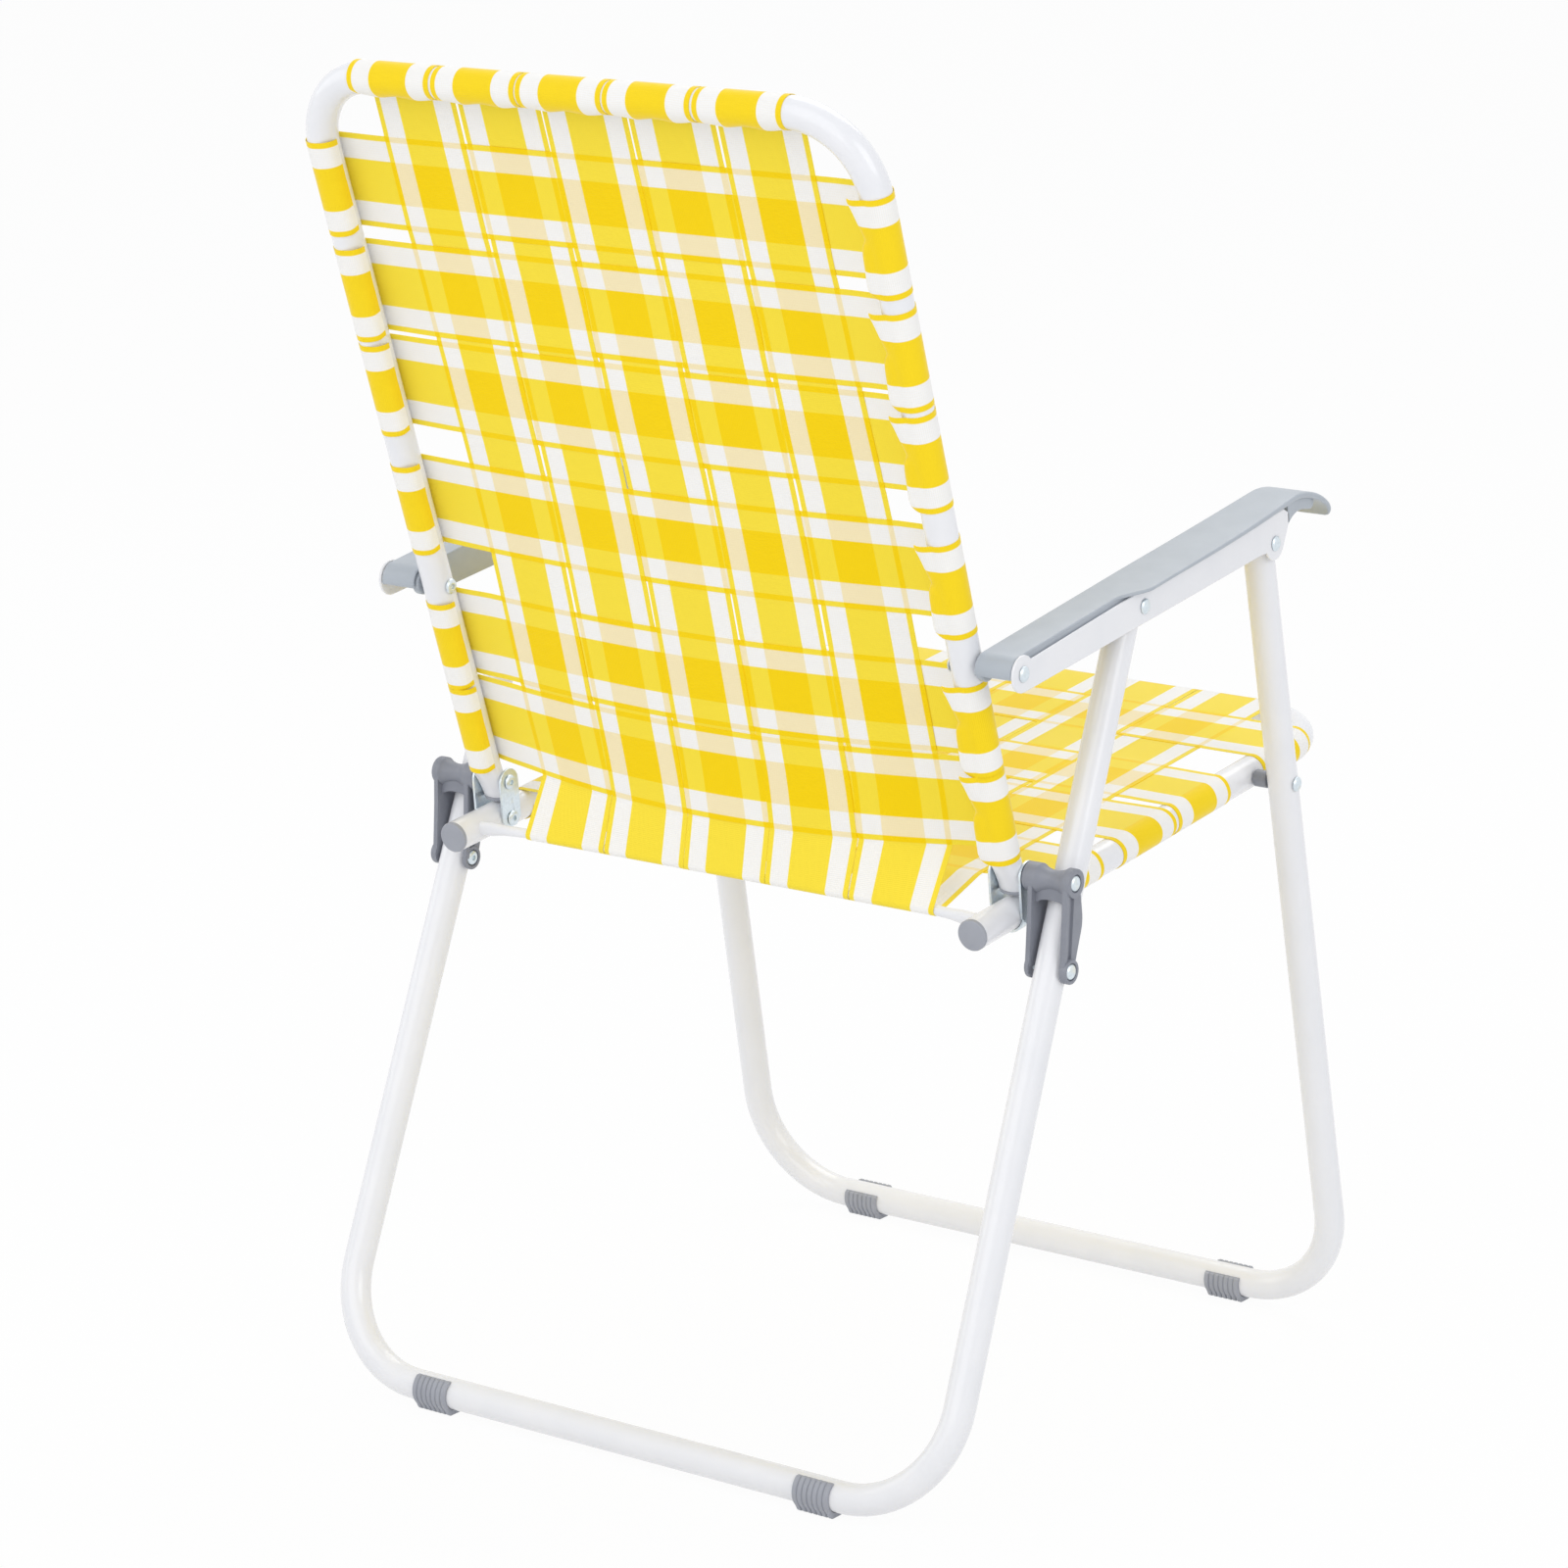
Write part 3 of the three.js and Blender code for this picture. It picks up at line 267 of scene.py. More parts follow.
floor_mesh = bpy.data.meshes.new("floor")
floor_corners = [(x * FLOOR_HALF, y * FLOOR_HALF, 0) for x, y in ((-1, -1), (1, -1), (1, 1), (-1, 1))]
floor_mesh.from_pydata(floor_corners, [], [(0, 1, 2, 3)])
floor = placed("floor", floor_mesh)
_, start = new_finish("floor_white")
matt = start.node("ShaderNodeBsdfDiffuse", None, {"Color": (0.86, 0.86, 0.86, 1)})
glow = start.node("ShaderNodeEmission", None, {"Color": WHITE, "Strength": 1.0})
lit, seen = mixed_shader(0.78, glow, matt), mixed_shader(0.045, glow, matt)
plug(start.tree.nodes["Material Output"], {"Surface": mixed_shader(seen_rays(start), lit, seen)})
floor_mesh.materials.append(finishes["floor_white"])

world = bpy.data.worlds.new("studio")
bpy.context.scene.world = world
world.use_nodes = True
sky = Value(world.node_tree)
lighting = sky.node("ShaderNodeBackground", None, {"Color": (0.95, 0.97, 1.0, 1), "Strength": 0.6})
backdrop = sky.node("ShaderNodeBackground", None, {"Color": WHITE, "Strength": 1.0})
plug(sky.tree.nodes["World Output"], {"Surface": mixed_shader(seen_rays(sky), lighting, backdrop)})


def lamp(name, place, aim, size, power):
    """A square area lamp at a place, turned so that its light falls towards aim."""
    data = bpy.data.lights.new(name, "AREA")
    data.size, data.energy = size, power
    made = placed(name, data)
    made.rotation_mode = "QUATERNION"
    made.rotation_quaternion = (Vector(aim) - Vector(place)).to_track_quat("-Z", "Y")
    made.location = place


lamp("key", (0.1, 3.2, 2.5), (0, 0, 0.45), 3.6, 41)
lamp("fill", (-3.2, 0.8, 2.0), (0, 0, 0.45), 2.0, 26)
lamp("side", (3.0, 1.4, 1.5), (0, 0, 0.45), 2.0, 12)
lamp("over", (0.4, -1.6, 3.0), (0, 0, 0.4), 2.2, 30)

# %% [markdown]
# ## Webbing
# Each strap is plastic webbing with a wide yellow stripe, white beside it and a thin yellow edge. Where
# two cross, the lower one shows through. A picture could be painted for it, but a formula stays sharp. So
# every point carries three numbers: its distance from the strap's middle, how far along it is, and its
# distance from the middle of the strap it crosses, which is NONE between crossings and WOUND on a tube.

# %% Finish: webbing
STRAP_W, STRAP_T = 59.8, 0.34
WIDE_STRIPE, THIN_FROM, SOFT_EDGE = 13.66, 26.4, 0.25
RIB_PITCH, THREAD_PITCH = 1.15, 1.5
NONE, WOUND = 2 * STRAP_W, 3 * STRAP_W


def striped(away):
    """1 on yellow, by the distance from the middle: the wide stripe, and a thin one at either edge."""
    wide = (WIDE_STRIPE + SOFT_EDGE - away) * (0.5 / SOFT_EDGE)
    thin = (away - THIN_FROM + SOFT_EDGE) * (0.5 / SOFT_EDGE)
    return wide.clamped().largest(thin.clamped())


shader, start = new_finish("webbing")
across, along, crossed = (start.node("ShaderNodeAttribute", {"attribute_name": name}, None, "Fac")
                          for name in ("across", "along", "crossed"))
covered = ((0.5 * STRAP_W + 0.3 - crossed) * 2.0).clamped()
below = striped(crossed) * covered
# On a tube the strap's yellow is pushed most of the way to the deeper yellow. This is painted shade, standing
# for the darker shading of the wraps.
wrap_shade = ((crossed - (NONE + WOUND) / 2) * 0.1).clamped()
white_part = below.between(colour(242, 242, 242), colour(243, 229, 188))
yellow_part = below.largest(wrap_shade * 0.7).between(colour(246, 222, 62), colour(246, 210, 0))
plain = striped(across).between(white_part, yellow_part)
ribs, threads = along.wave(RIB_PITCH), across.wave(THREAD_PITCH)
fade = start.node("ShaderNodeTexCoord", output="Object").noise(22.0, 4.0)
# Ribs and threads pull the colour towards a dull brown yellow in the weave's grooves, which is painted shade.
# The noise adds tone that differs at random.
tone_and_groove_shade = (ribs * 0.05 + threads * 0.03 + fade * 0.03).between(plain, colour(228, 190, 60))
# The Emission inputs make the webbing glow faintly in its own colour. This is painted light, standing for
# light that passes through the thin plastic.
plug(shader, {"Base Color": tone_and_groove_shade, "Emission Color": tone_and_groove_shade, "Roughness": fade * 0.2 + 0.4,
              "Emission Strength": 0.07, "Specular IOR Level": 0.08, "Sheen Weight": 0.5,
              "Sheen Roughness": 0.3})
bumped(shader, ribs * 0.7 + threads * 0.3, 0.35, 0.0003)
print("webbing", len(start.tree.nodes), "nodes")

# %% [markdown]
# ## Meshes from arrays
# A tube or a pad is a closed outline carried along a path. Curves could sweep a profile too, but rows of
# points in an array can be bent, pressed and measured before they become a mesh. The faces are quads
# between neighbouring rows, and the ends are closed.


# %% Mesh helpers
def unit(vectors):
    """The same directions, each of length 1."""
    return vectors / np.linalg.norm(vectors, axis=-1, keepdims=True)


def lengths_along(line):
    """How far along a line each of its points is: the running sum of its steps."""
    return np.concatenate([[0], np.cumsum(np.linalg.norm(np.diff(line, axis=0), axis=-1))])


def object_of(name, points, faces, slot):
    """One mesh object from points in millimetres, faces turned outwards by the sign of the volume."""
    mesh = bpy.data.meshes.new(name)
    mesh.from_pydata((points.reshape(-1, 3) * MM).tolist(), [], faces)
    work = bmesh.new()
    work.from_mesh(mesh)
    if work.calc_volume(signed=True) < 0:
        bmesh.ops.reverse_faces(work, faces=work.faces)
    work.to_mesh(mesh)
    work.free()
    mesh.polygons.foreach_set("use_smooth", np.ones(len(mesh.polygons), bool))
    mesh.set_sharp_from_angle(angle=np.radians(40))
    mesh.materials.append(finishes[slot])
    return placed(name, mesh)


def skin_faces(rows, columns, first=0):
    """Quads between neighbouring rows whose columns close on themselves, and a face over each end."""
    row, column = np.mgrid[: rows - 1, :columns]
    beside = (column + 1) % columns
    quads = np.stack([row * columns + column, row * columns + beside,
                      (row + 1) * columns + beside, (row + 1) * columns + column], axis=-1)
    ring = np.arange(columns)
    ends = [(ring[::-1] + first).tolist(), (ring + first + (rows - 1) * columns).tolist()]
    return (quads.reshape(-1, 4) + first).tolist() + ends


def turned_out(skin):
    """The skin, its columns reversed if its volume, a sum of triple products, is below 0."""
    p = np.concatenate([skin, skin[:, :1]], axis=1) - skin.mean(axis=(0, 1))
    a, b, c, d = p[:-1, :-1], p[:-1, 1:], p[1:, 1:], p[1:, :-1]
    volume = np.sum(a * (np.cross(b, c) + np.cross(c, d)))
    for ring, sign in ((p[0], -1), (p[-1], 1)):
        volume += sign * np.sum(ring[0] * np.cross(ring[:-1], ring[1:]))
    return skin if volume > 0 else skin[:, ::-1]


def settle(made, slot, body, *replaced):
    """The piece stands for CAD nodes and rides on a body; slot is not used."""
    if replaced:
        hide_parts(*replaced)
    if body:
        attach(made, body)
    return made


def dressed(name, skins, slot, body, *replaced):
    """Several closed skins, each rows by columns by 3, as one piece settled on a body."""
    skins = [turned_out(skin) for skin in skins]
    starts = np.cumsum([0] + [skin.shape[0] * skin.shape[1] for skin in skins])
    faces = sum((skin_faces(*skin.shape[:2], int(first)) for skin, first in zip(skins, starts)), [])
    points = np.concatenate([skin.reshape(-1, 3) for skin in skins])
    return settle(object_of(name, points, faces, slot), slot, body, *replaced)


print("mesh helpers ready")

# %% [markdown]
# ## How the straps lie
# Straps pass over and under each other in turn. A cloth simulation could settle them, but they are pulled
# taut, so a few measured lines give their places. Both sets follow one surface, which bows to the rear
# low on the back, and each strap stands about a fifth of a millimetre to its own side of it at a
# crossing.

# %% Places of the straps
TUBE_R, SIDE_X, BACK_TOP_X, SEAT_BEND = 9.5, 192.0, 195.5, 50.0
TOUCH, LIFT, RAMP = 0.07, 0.22, 2.5
HUG = TUBE_R + TOUCH + STRAP_T / 2
BACK_ROWS = np.array([407, 339, 276.7, 196.6, 107, 45.0])
SEAT_ROWS = np.array([53, 132, 199, 297.0])
COLUMNS = np.array([122.7, 61.0, 0.0, -61.2, -122.8])
GATHER_FROM, GATHER_TO, GATHER = 60.0, 14.0, 0.015
ACROSS = np.concatenate([[-1, -0.988], np.linspace(-0.96, 0.96, 33), [0.988, 1]])


def gentle(way):
    """A smooth step from 0 to 1: three times the square less twice the cube."""
    t = np.clip(way, 0, 1)
    return t * t * (3 - 2 * t)


def eased(at, places, values, reach):
    """Straight lines between values, averaged over a reach either side so that the corners round off."""
    order = np.argsort(places)
    places, values = np.asarray(places, float)[order], np.asarray(values, float)[order]
    steps = np.linspace(-reach, reach, 9)
    return np.mean([np.interp(at + step, places, values) for step in steps], axis=0)


def bow(a):
    """How far the middle of the back lies behind the line between its tubes."""
    return eased(a, [BACK_TOP, *BACK_ROWS, 10, -30], [0, 0, 1, 6.5, 9.5, 15, 19.5, 25.5, 31], 14)


def drift(a):
    """How far the long straps have wandered to the side, by the height on the back."""
    places = [BACK_TOP, 425, 380, 320, 300, 257, 237, 178, 128, 60, GATHER_TO]
    return eased(a, places, [3.6, 3.5, 3.2, 1.3, -0.2, -2.2, -2.9, -3.8, -3.9, -4.0, -5.0], 10)


def column_x(a, columns):
    """Where the middles of long straps lie: evenly spread on the back, and drawn together near the rod."""
    return columns * (1 - GATHER * gentle((GATHER_FROM - a) / (GATHER_FROM - GATHER_TO))) + drift(a)


def back_tube_x(a):
    """The side tube's middle, which moves out in a straight line from the hinge to the top."""
    return SIDE_X + (BACK_TOP_X - SIDE_X) * np.clip(a, 0, None) / BACK_TOP


def seat_tube_x(q):
    """The side tube's middle, which turns in at the front corner on a circle of the bend's radius."""
    past = np.clip(q - SEAT_FRONT + SEAT_BEND, 0, 0.98 * SEAT_BEND)
    return SIDE_X - SEAT_BEND + np.sqrt(SEAT_BEND**2 - past**2)


def turns(distance, signs):
    """Over and under: the sum of each crossing's sign on a plateau a strap wide, with short ramps."""
    plateau = np.clip((STRAP_W / 2 + RAMP - np.abs(distance)) / RAMP, 0, 1)
    return LIFT * np.sum(plateau * signs, axis=-1)


def in_turn(count, first):
    """1 and -1 by turns, as many as there are crossings."""
    return np.where((np.arange(count) + first) % 2 == 0, 1, -1)


print("strap rows", BACK_ROWS, SEAT_ROWS)

# %% [markdown]
# ## A strap from its middle surface
# Webbing is a flat strip, so its shape is known once its middle surface is. A Solidify modifier could
# thicken that, but the finish needs its three numbers on both skins, so it is done here.


# %% Straps
def add_strap(name, middle, crossed_mm):
    """A middle surface, rows along by columns across, thickened by half of STRAP_T along its normals.
    Gives the strap and its length."""
    length = lengths_along(middle[:, len(ACROSS) // 2])
    offset = unit(np.cross(np.gradient(middle, axis=0), np.gradient(middle, axis=1))) * STRAP_T / 2
    points = np.concatenate([middle + offset, (middle - offset)[:, ::-1]], axis=1)
    rows, columns = points.shape[:2]
    half = np.arange(columns // 2 - 1)
    cap = np.stack([half, half + 1, columns - 2 - half, columns - 1 - half], axis=-1)
    faces = skin_faces(rows, columns)[:-2] + cap[:, ::-1].tolist() + (cap + (rows - 1) * columns).tolist()
    made = object_of(name, points, faces, "webbing")
    measures = {"across": np.abs(ACROSS) * STRAP_W / 2, "along": length[:, None], "crossed": crossed_mm}
    for label, values in measures.items():
        values = np.broadcast_to(values, middle.shape[:2])
        both = np.concatenate([values, values[:, ::-1]], axis=1).astype(np.float32)
        made.data.attributes.new(label, "FLOAT", "POINT").data.foreach_set("value", both.ravel())
    return made, length[-1]


print("points across a strap", len(ACROSS))

# %% [markdown]
# ## Cross straps
# A cross strap lies against the sitting side, goes round the outside of each tube and ends behind it,
# where it bellies out and narrows a little. Modifiers could wrap a flat strip, but in its plane it is
# only an arc about one tube, a shallow bow across, and an arc about the other. The slips say how far each
# end has moved along its tube.

# %% Cross straps
BULGE_FROM, BULGE_TOP, NARROW_FROM, WRAP_END = 190, 240, 234, 272
BACK_FLARES, SEAT_FLARES = (0.3, 1.0), (0.3, 0.3)
BACK_SLIPS = [(-1.5, 2.0), (-1.0, 2.5), (-0.5, 3.0), (0.0, 3.5), (4.5, 4.5), (1.9, 1.9)]
SEAT_SLIPS = [(1.0, 1.0), (-2.0, -2.0), (2.0, 2.0), (0.0, 0.0)]


def stand_off(degrees, size):
    """How far a cross strap's end bellies out behind its tube: least at the pin, most at the upper edge."""
    bump = gentle((degrees - BULGE_FROM) / (BULGE_TOP - BULGE_FROM))
    bump = bump * (1 - 0.7 * gentle((degrees - BULGE_TOP) / (WRAP_END - BULGE_TOP)))
    places = [-1.02, -0.93, -0.8, -0.42, -0.2, -0.02, 0.14, 0.3, 0.58, 0.75, 0.95, 1.02]
    return size * bump * eased(ACROSS, places, [1, 3.6, 4.5, 4, 3.8, 3.2, 0.8, 2, 4, 5.2, 7, 6.5], 0.03)


def cross_middle(row, side, index, bowed, tube_x, level, slips, flares):
    """The strap's middle surface in its plane, as x, run and height, and its distance from the strap it
    crosses. The run across is a parabola whose slope at the tube is the tangent of the wrap."""
    wrap = np.linspace(np.radians(WRAP_END), 0, 60)[:, None]
    degrees = np.degrees(wrap)
    span = np.linspace(1, -1, 200)[1:-1, None]

    def run_of(settled, slip, narrowed=0.0):
        return row - slip * settled + ACROSS * (1 - narrowed) * STRAP_W / 2

    def lead_of(run):
        return np.arctan(2 * bowed(run) / tube_x(run))

    def round_tube(slip, flare):
        drawn_in = 0.35 * flare**2 * gentle((degrees - NARROW_FROM) / (WRAP_END - NARROW_FROM))
        run = run_of(0.4 + 0.6 * gentle(degrees / 80), slip, drawn_in)
        angle = wrap - np.pi / 2 - lead_of(run)
        radius = HUG + stand_off(degrees, flare)
        return tube_x(run) + radius * np.cos(angle), run, radius * np.sin(angle)

    left_x, left_run, left_h = round_tube(slips[0], flares[0])
    right_x, right_run, right_h = (part[::-1] for part in round_tube(slips[1], flares[1]))
    span_run = run_of(0.4 * gentle((np.abs(span) - 0.8) / 0.2), np.where(span > 0, *slips))
    lead = lead_of(span_run)
    reach = tube_x(span_run) - HUG * np.sin(lead)
    x = span * reach
    height = -HUG * np.cos(lead) + np.tan(lead) * reach / 2 * (1 - span**2)
    distance = x[..., None] - column_x(level(span_run[..., None]), COLUMNS)
    height = height - turns(distance, in_turn(len(COLUMNS), index))
    away = np.full_like(left_x, WOUND)
    grid_x = np.concatenate([left_x, x, -right_x])
    grid_run = np.concatenate([left_run, span_run, right_run])
    grid_h = np.concatenate([left_h, height, right_h])
    crossed_mm = np.concatenate([away, np.abs(distance).min(axis=-1), away])
    return grid_x, grid_run, grid_h * -side, crossed_mm


cut_lengths = {}
weaves = {"back": (BACK_ROWS, BACK_SLIPS, BACK_FLARES, -1, 0, on_back, back_tube_x, bow, lambda a: a),
          "seat": (SEAT_ROWS, SEAT_SLIPS, SEAT_FLARES, 1, 1, on_seat, seat_tube_x, np.zeros_like,
                   lambda q: np.full_like(q, GATHER_TO))}
for body, (rows, slips, flares, side, first, on_part, tube_x, bowed, level) in weaves.items():
    for j, row in enumerate(rows):
        *grid, crossed_mm = cross_middle(row, side, j + first, bowed, tube_x, level, slips[j], flares)
        name = f"{body}_cross_webbing_{j + 1}"
        made, cut_lengths[name] = add_strap(name, on_part(*grid), crossed_mm)
        settle(made, "webbing", body, f"{body}_cross_strap_{j + 1}")
print("cross straps", {name: round(length) for name, length in cut_lengths.items()})

# %% [markdown]
# ## Long straps
# A long strap is one piece: round the top rail, down the back, round the thin rod behind the hinge, along
# the seat and round the front rail. Two halves could meet at the hinge, but the join would open when the
# chair folds.

# %% Long straps
ROD_Q, ROD_M, ROD_R = -27.0, 3.6, 3.0
ROD = on_seat(0, ROD_Q, ROD_M)[1:]
ROD_HUG = ROD_R + 0.3 + STRAP_T / 2
LONG_WRAP, LONGER_EDGE = np.radians(238), 0.45
BOW_HALF = 193.0


def touch_angle(points, side):
    """Where lines from points in side view touch the circle about the rod, as angles about its middle."""
    reach = points - ROD
    spread = np.arccos(ROD_HUG / np.linalg.norm(reach, axis=-1))
    return np.arctan2(reach[..., 1], reach[..., 0]) + side * spread


def rail_wrap(part):
    """The wrap about a rail at shares of its way, as angle and radius: its end stands off a little."""
    loose = 1.3 * np.clip((part - 0.8) / 0.2, 0, 1) ** 2 * np.sin(np.pi * np.abs(ACROSS)) ** 2
    return part * (LONG_WRAP + LONGER_EDGE * np.abs(ACROSS) ** 0.7), HUG + loose


def long_middle(i):
    """The middle surface in pieces: arc, back run, line to the rod, arc, line to the seat, run, arc."""
    wide = ACROSS * STRAP_W / 2
    wrap, radius = rail_wrap(np.linspace(1, 0, 50)[:, None])
    top = on_back(column_x(BACK_TOP, COLUMNS[i]) + wide, BACK_TOP + radius * np.sin(np.pi - wrap),
                  radius * np.cos(np.pi - wrap))
    a = np.linspace(BACK_TOP, GATHER_TO, 260)[1:, None]
    x = column_x(a, COLUMNS[i]) + wide
    n = bow(a) * (1 - (x / BOW_HALF) ** 2) - HUG
    back_run = on_back(x, a, n + turns(a[..., None] - BACK_ROWS, in_turn(len(BACK_ROWS), i)))
    low_x = x[-1]
    q = np.linspace(SEAT_ROWS[0] - STRAP_W / 2 - 4, SEAT_FRONT, 190)[:, None]
    m = HUG + turns(q[..., None] - SEAT_ROWS, in_turn(len(SEAT_ROWS), i))
    seat_run = on_seat(np.broadcast_to(low_x, (len(q), len(low_x))), q, m)
    arrive, leave = touch_angle(back_run[-1, :, 1:], -1), touch_angle(seat_run[0, :, 1:], 1)
    sweep = (leave - arrive) % (2 * np.pi) - 2 * np.pi
    angle = arrive + sweep * np.linspace(0, 1, 26)[:, None]
    round_rod = np.stack([np.broadcast_to(low_x, angle.shape), ROD[0] + ROD_HUG * np.cos(angle),
                          ROD[1] + ROD_HUG * np.sin(angle)], axis=-1)
    way = np.linspace(0, 1, 12)[1:-1, None, None]
    to_rod = back_run[-1] + (round_rod[0] - back_run[-1]) * way
    to_seat = round_rod[-1] + (seat_run[0] - round_rod[-1]) * way
    under, radius = rail_wrap(np.linspace(0, 1, 50)[1:, None])
    front = on_seat(low_x, SEAT_FRONT + radius * np.sin(under), radius * np.cos(under))
    away = [np.full(len(top), WOUND), np.abs(a - BACK_ROWS).min(axis=-1),
            np.full(len(to_rod) + len(round_rod) + len(to_seat), NONE),
            np.abs(q - SEAT_ROWS).min(axis=-1), np.full(len(front), WOUND)]
    pieces = [top, back_run, to_rod, round_rod, to_seat, seat_run, front]
    return np.concatenate(pieces), np.concatenate(away)[:, None]


for i in range(len(COLUMNS)):
    points, crossed_mm = long_middle(i)
    name = f"long_webbing_{i + 1}"
    made, cut_lengths[name] = add_strap(name, points, crossed_mm)
    settle(made, "webbing", None, f"back_lengthwise_strap_{i + 1}", f"seat_lengthwise_strap_{i + 1}")
    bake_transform(made)
print("long straps", {name: round(cut_lengths[name]) for name in cut_lengths if name.startswith("long")})

# %% [markdown]
# ## White paint
# The tubes and arms are steel with glossy white powder paint. One plain colour would be too perfect, so a
# low bump from noise breaks up the long highlights, and the roughness varies a little.


# %% Finish: white paint
def speckled(shader, start, base, dark, scale, depth, rough, spread):
    """A moulded or painted surface: a little darker in places, with a fine bump from noise at a scale."""
    place = start.node("ShaderNodeTexCoord", output="Object")
    broad, fine = place.noise(scale / 12, 3.0), place.noise(scale, 2.0)
    tint = ((broad - 0.35) * 1.6).clamped().between(colour(*base), colour(*dark))
    plug(shader, {"Base Color": tint, "Roughness": broad * spread + (rough - spread / 2)})
    bumped(shader, fine, 0.3, depth)


shader, start = new_finish("white_paint")
plug(shader, {"Coat Weight": 0.35, "Coat Roughness": 0.08})
speckled(shader, start, (240, 240, 243), (234, 235, 239), 420.0, 0.00012, 0.24, 0.1)
print("white paint ready")

# %% [markdown]
# ## Bent tubes
# Each frame is one tube, bent at two corners. A bezier curve with a round bevel could draw it, but its
# bends are not true arcs. So a circle is carried along a path worked out from the corners and the bend's
# radius. At an open end it turns in over the tube's wall, so that the end shows a rim and not a lid.


# %% Bent tubes
def full_turn(sides):
    """Angles spaced evenly round a circle, the last one short of the first."""
    return np.linspace(0, 2 * np.pi, sides, endpoint=False)


def bent_path(corners, bend, steps=20):
    """Points and directions along straight legs joined by arcs: each arc starts before its corner by the
    bend times the tangent of half the turn."""
    corners = np.asarray(corners, float)
    heading = unit(np.diff(corners, axis=0))
    points, directions = [corners[:1]], [heading[:1]]
    for corner, before, after in zip(corners[1:-1], heading, heading[1:]):
        angle = np.arccos(before @ after)
        inward = unit(after - (after @ before) * before)
        step = np.linspace(0, angle, steps)[:, None]
        begin = corner - before * bend * np.tan(angle / 2)
        points.append(begin + bend * (before * np.sin(step) + inward * (1 - np.cos(step))))
        directions.append(before * np.cos(step) + inward * np.sin(step))
    points.append(corners[-1:])
    directions.append(heading[-1:])
    return np.concatenate(points), np.concatenate(directions)


def tube_skin(points, directions, radius=TUBE_R, wall=1.2, inside=14.0, rim=0.3):
    """A circle carried along a path. Its first and last rings fold in over the wall and back inside."""
    flat_normal = unit(np.cross(points[1] - points[0], points[len(points) // 2] - points[0]))
    ends = np.array([(inside, radius - wall), (0, radius - wall), (0, radius - rim), (rim, radius)])
    back, size = ends[:, :1], ends[:, 1]
    centre = np.concatenate([points[0] + directions[0] * back, points[1:-1],
                             points[-1] - directions[-1] * back[::-1]])
    heading = directions[np.r_[[0] * 4, 1:len(points) - 1, [-1] * 4]]
    size = np.concatenate([size, np.full(len(points) - 2, radius), size[::-1]])[:, None, None]
    beside = unit(np.cross(flat_normal, heading))
    angle = full_turn(40)[None, :, None]
    return centre[:, None] + size * (np.cos(angle) * beside[:, None] + np.sin(angle) * flat_normal)


def u_corners(end, end_x, corner, corner_x):
    """The corners of a U: one end, along the side, across the rail, and back."""
    return [(-end_x, *end), (-corner_x, *corner), (corner_x, *corner), (end_x, *end)]


print("tube helpers ready")

# %% [markdown]
# ## Legs and seat tube
# Each leg frame is a U whose rail lies on the feet, and it narrows towards its pivots. The seat frame is
# a U open to the rear, with a thin rod welded across it for the straps. The rod could be a plain
# cylinder, but its ends are pressed tall where they meet the tubes, so it is a row of ellipses.

# %% Legs and seat tube
RAIL_Z, LEG_X, LEG_TOP_X, LEG_BEND, ABOVE_PIVOT = 12.8, 226.0, 218.5, 65.0, 4.0
SEAT_REAR = -43.0
legs = {"front_leg": (np.array([-230 + SHIFT, RAIL_Z]), np.array([-118.8 + SHIFT, 528.2])),
        "rear_leg": (np.array([230 + SHIFT, RAIL_Z]), np.array([29 + SHIFT, 515.0]))}


def leg_side_x(height, pivot):
    """How far out a leg's side is: on a straight line between the rail and the pivot."""
    return LEG_X + (LEG_TOP_X - LEG_X) * (height - RAIL_Z) / (pivot[1] - RAIL_Z)


for body, (rail, pivot) in legs.items():
    top = pivot + ABOVE_PIVOT * unit(pivot - rail)
    path = bent_path(u_corners(top, leg_side_x(top[1], pivot), rail, LEG_X), LEG_BEND)
    dressed(f"{body}_tube", [tube_skin(*path)], "white_paint", body, f"{body}_frame")

seat_rear, seat_corner = on_seat(0, SEAT_REAR, 0)[1:], on_seat(0, SEAT_FRONT, 0)[1:]
seat_path = bent_path(u_corners(seat_rear, SIDE_X, seat_corner, SIDE_X), SEAT_BEND)
rod_half = np.array([(183.7, 1.6, 4.6), (174, 2.3, 4.4), (166, 2.9, 3.4), (150, ROD_M, ROD_R)])
rod_x, rod_raise, rod_high = np.concatenate([rod_half * (-1, 1, 1), rod_half[::-1]]).T[..., None]
angle = full_turn(24)
rod_skin = on_seat(rod_x, ROD_Q + ROD_R * np.cos(angle), rod_raise + rod_high * np.sin(angle))
dressed("seat_tube", [tube_skin(*seat_path), rod_skin], "white_paint", "seat", "seat_frame")
print("legs and seat tube ready, rod at", ROD.round(1))

# %% [markdown]
# ## The back tube
# Its lower ends are pressed flatter between the hinge plates. A lattice could do it. Here the tube is
# made first, and then each point is drawn in towards the front wall by an amount that depends only on its
# height.

# %% Back tube
BACK_FOOT, BACK_BEND, PRESSED, PRESSED_OVER = -9.0, 48.0, 0.6, 30.0


def pressed(points):
    """Draws the section in towards its front wall near the hinge, eased over a height."""
    side = points[..., 1:] - HINGE
    a, n = side @ back_up, side @ back_out - BACK_BEHIND
    depth = PRESSED + (1 - PRESSED) * gentle((a - BACK_FOOT) / PRESSED_OVER)
    return on_back(points[..., 0], a, (n + TUBE_R) * depth - TUBE_R)


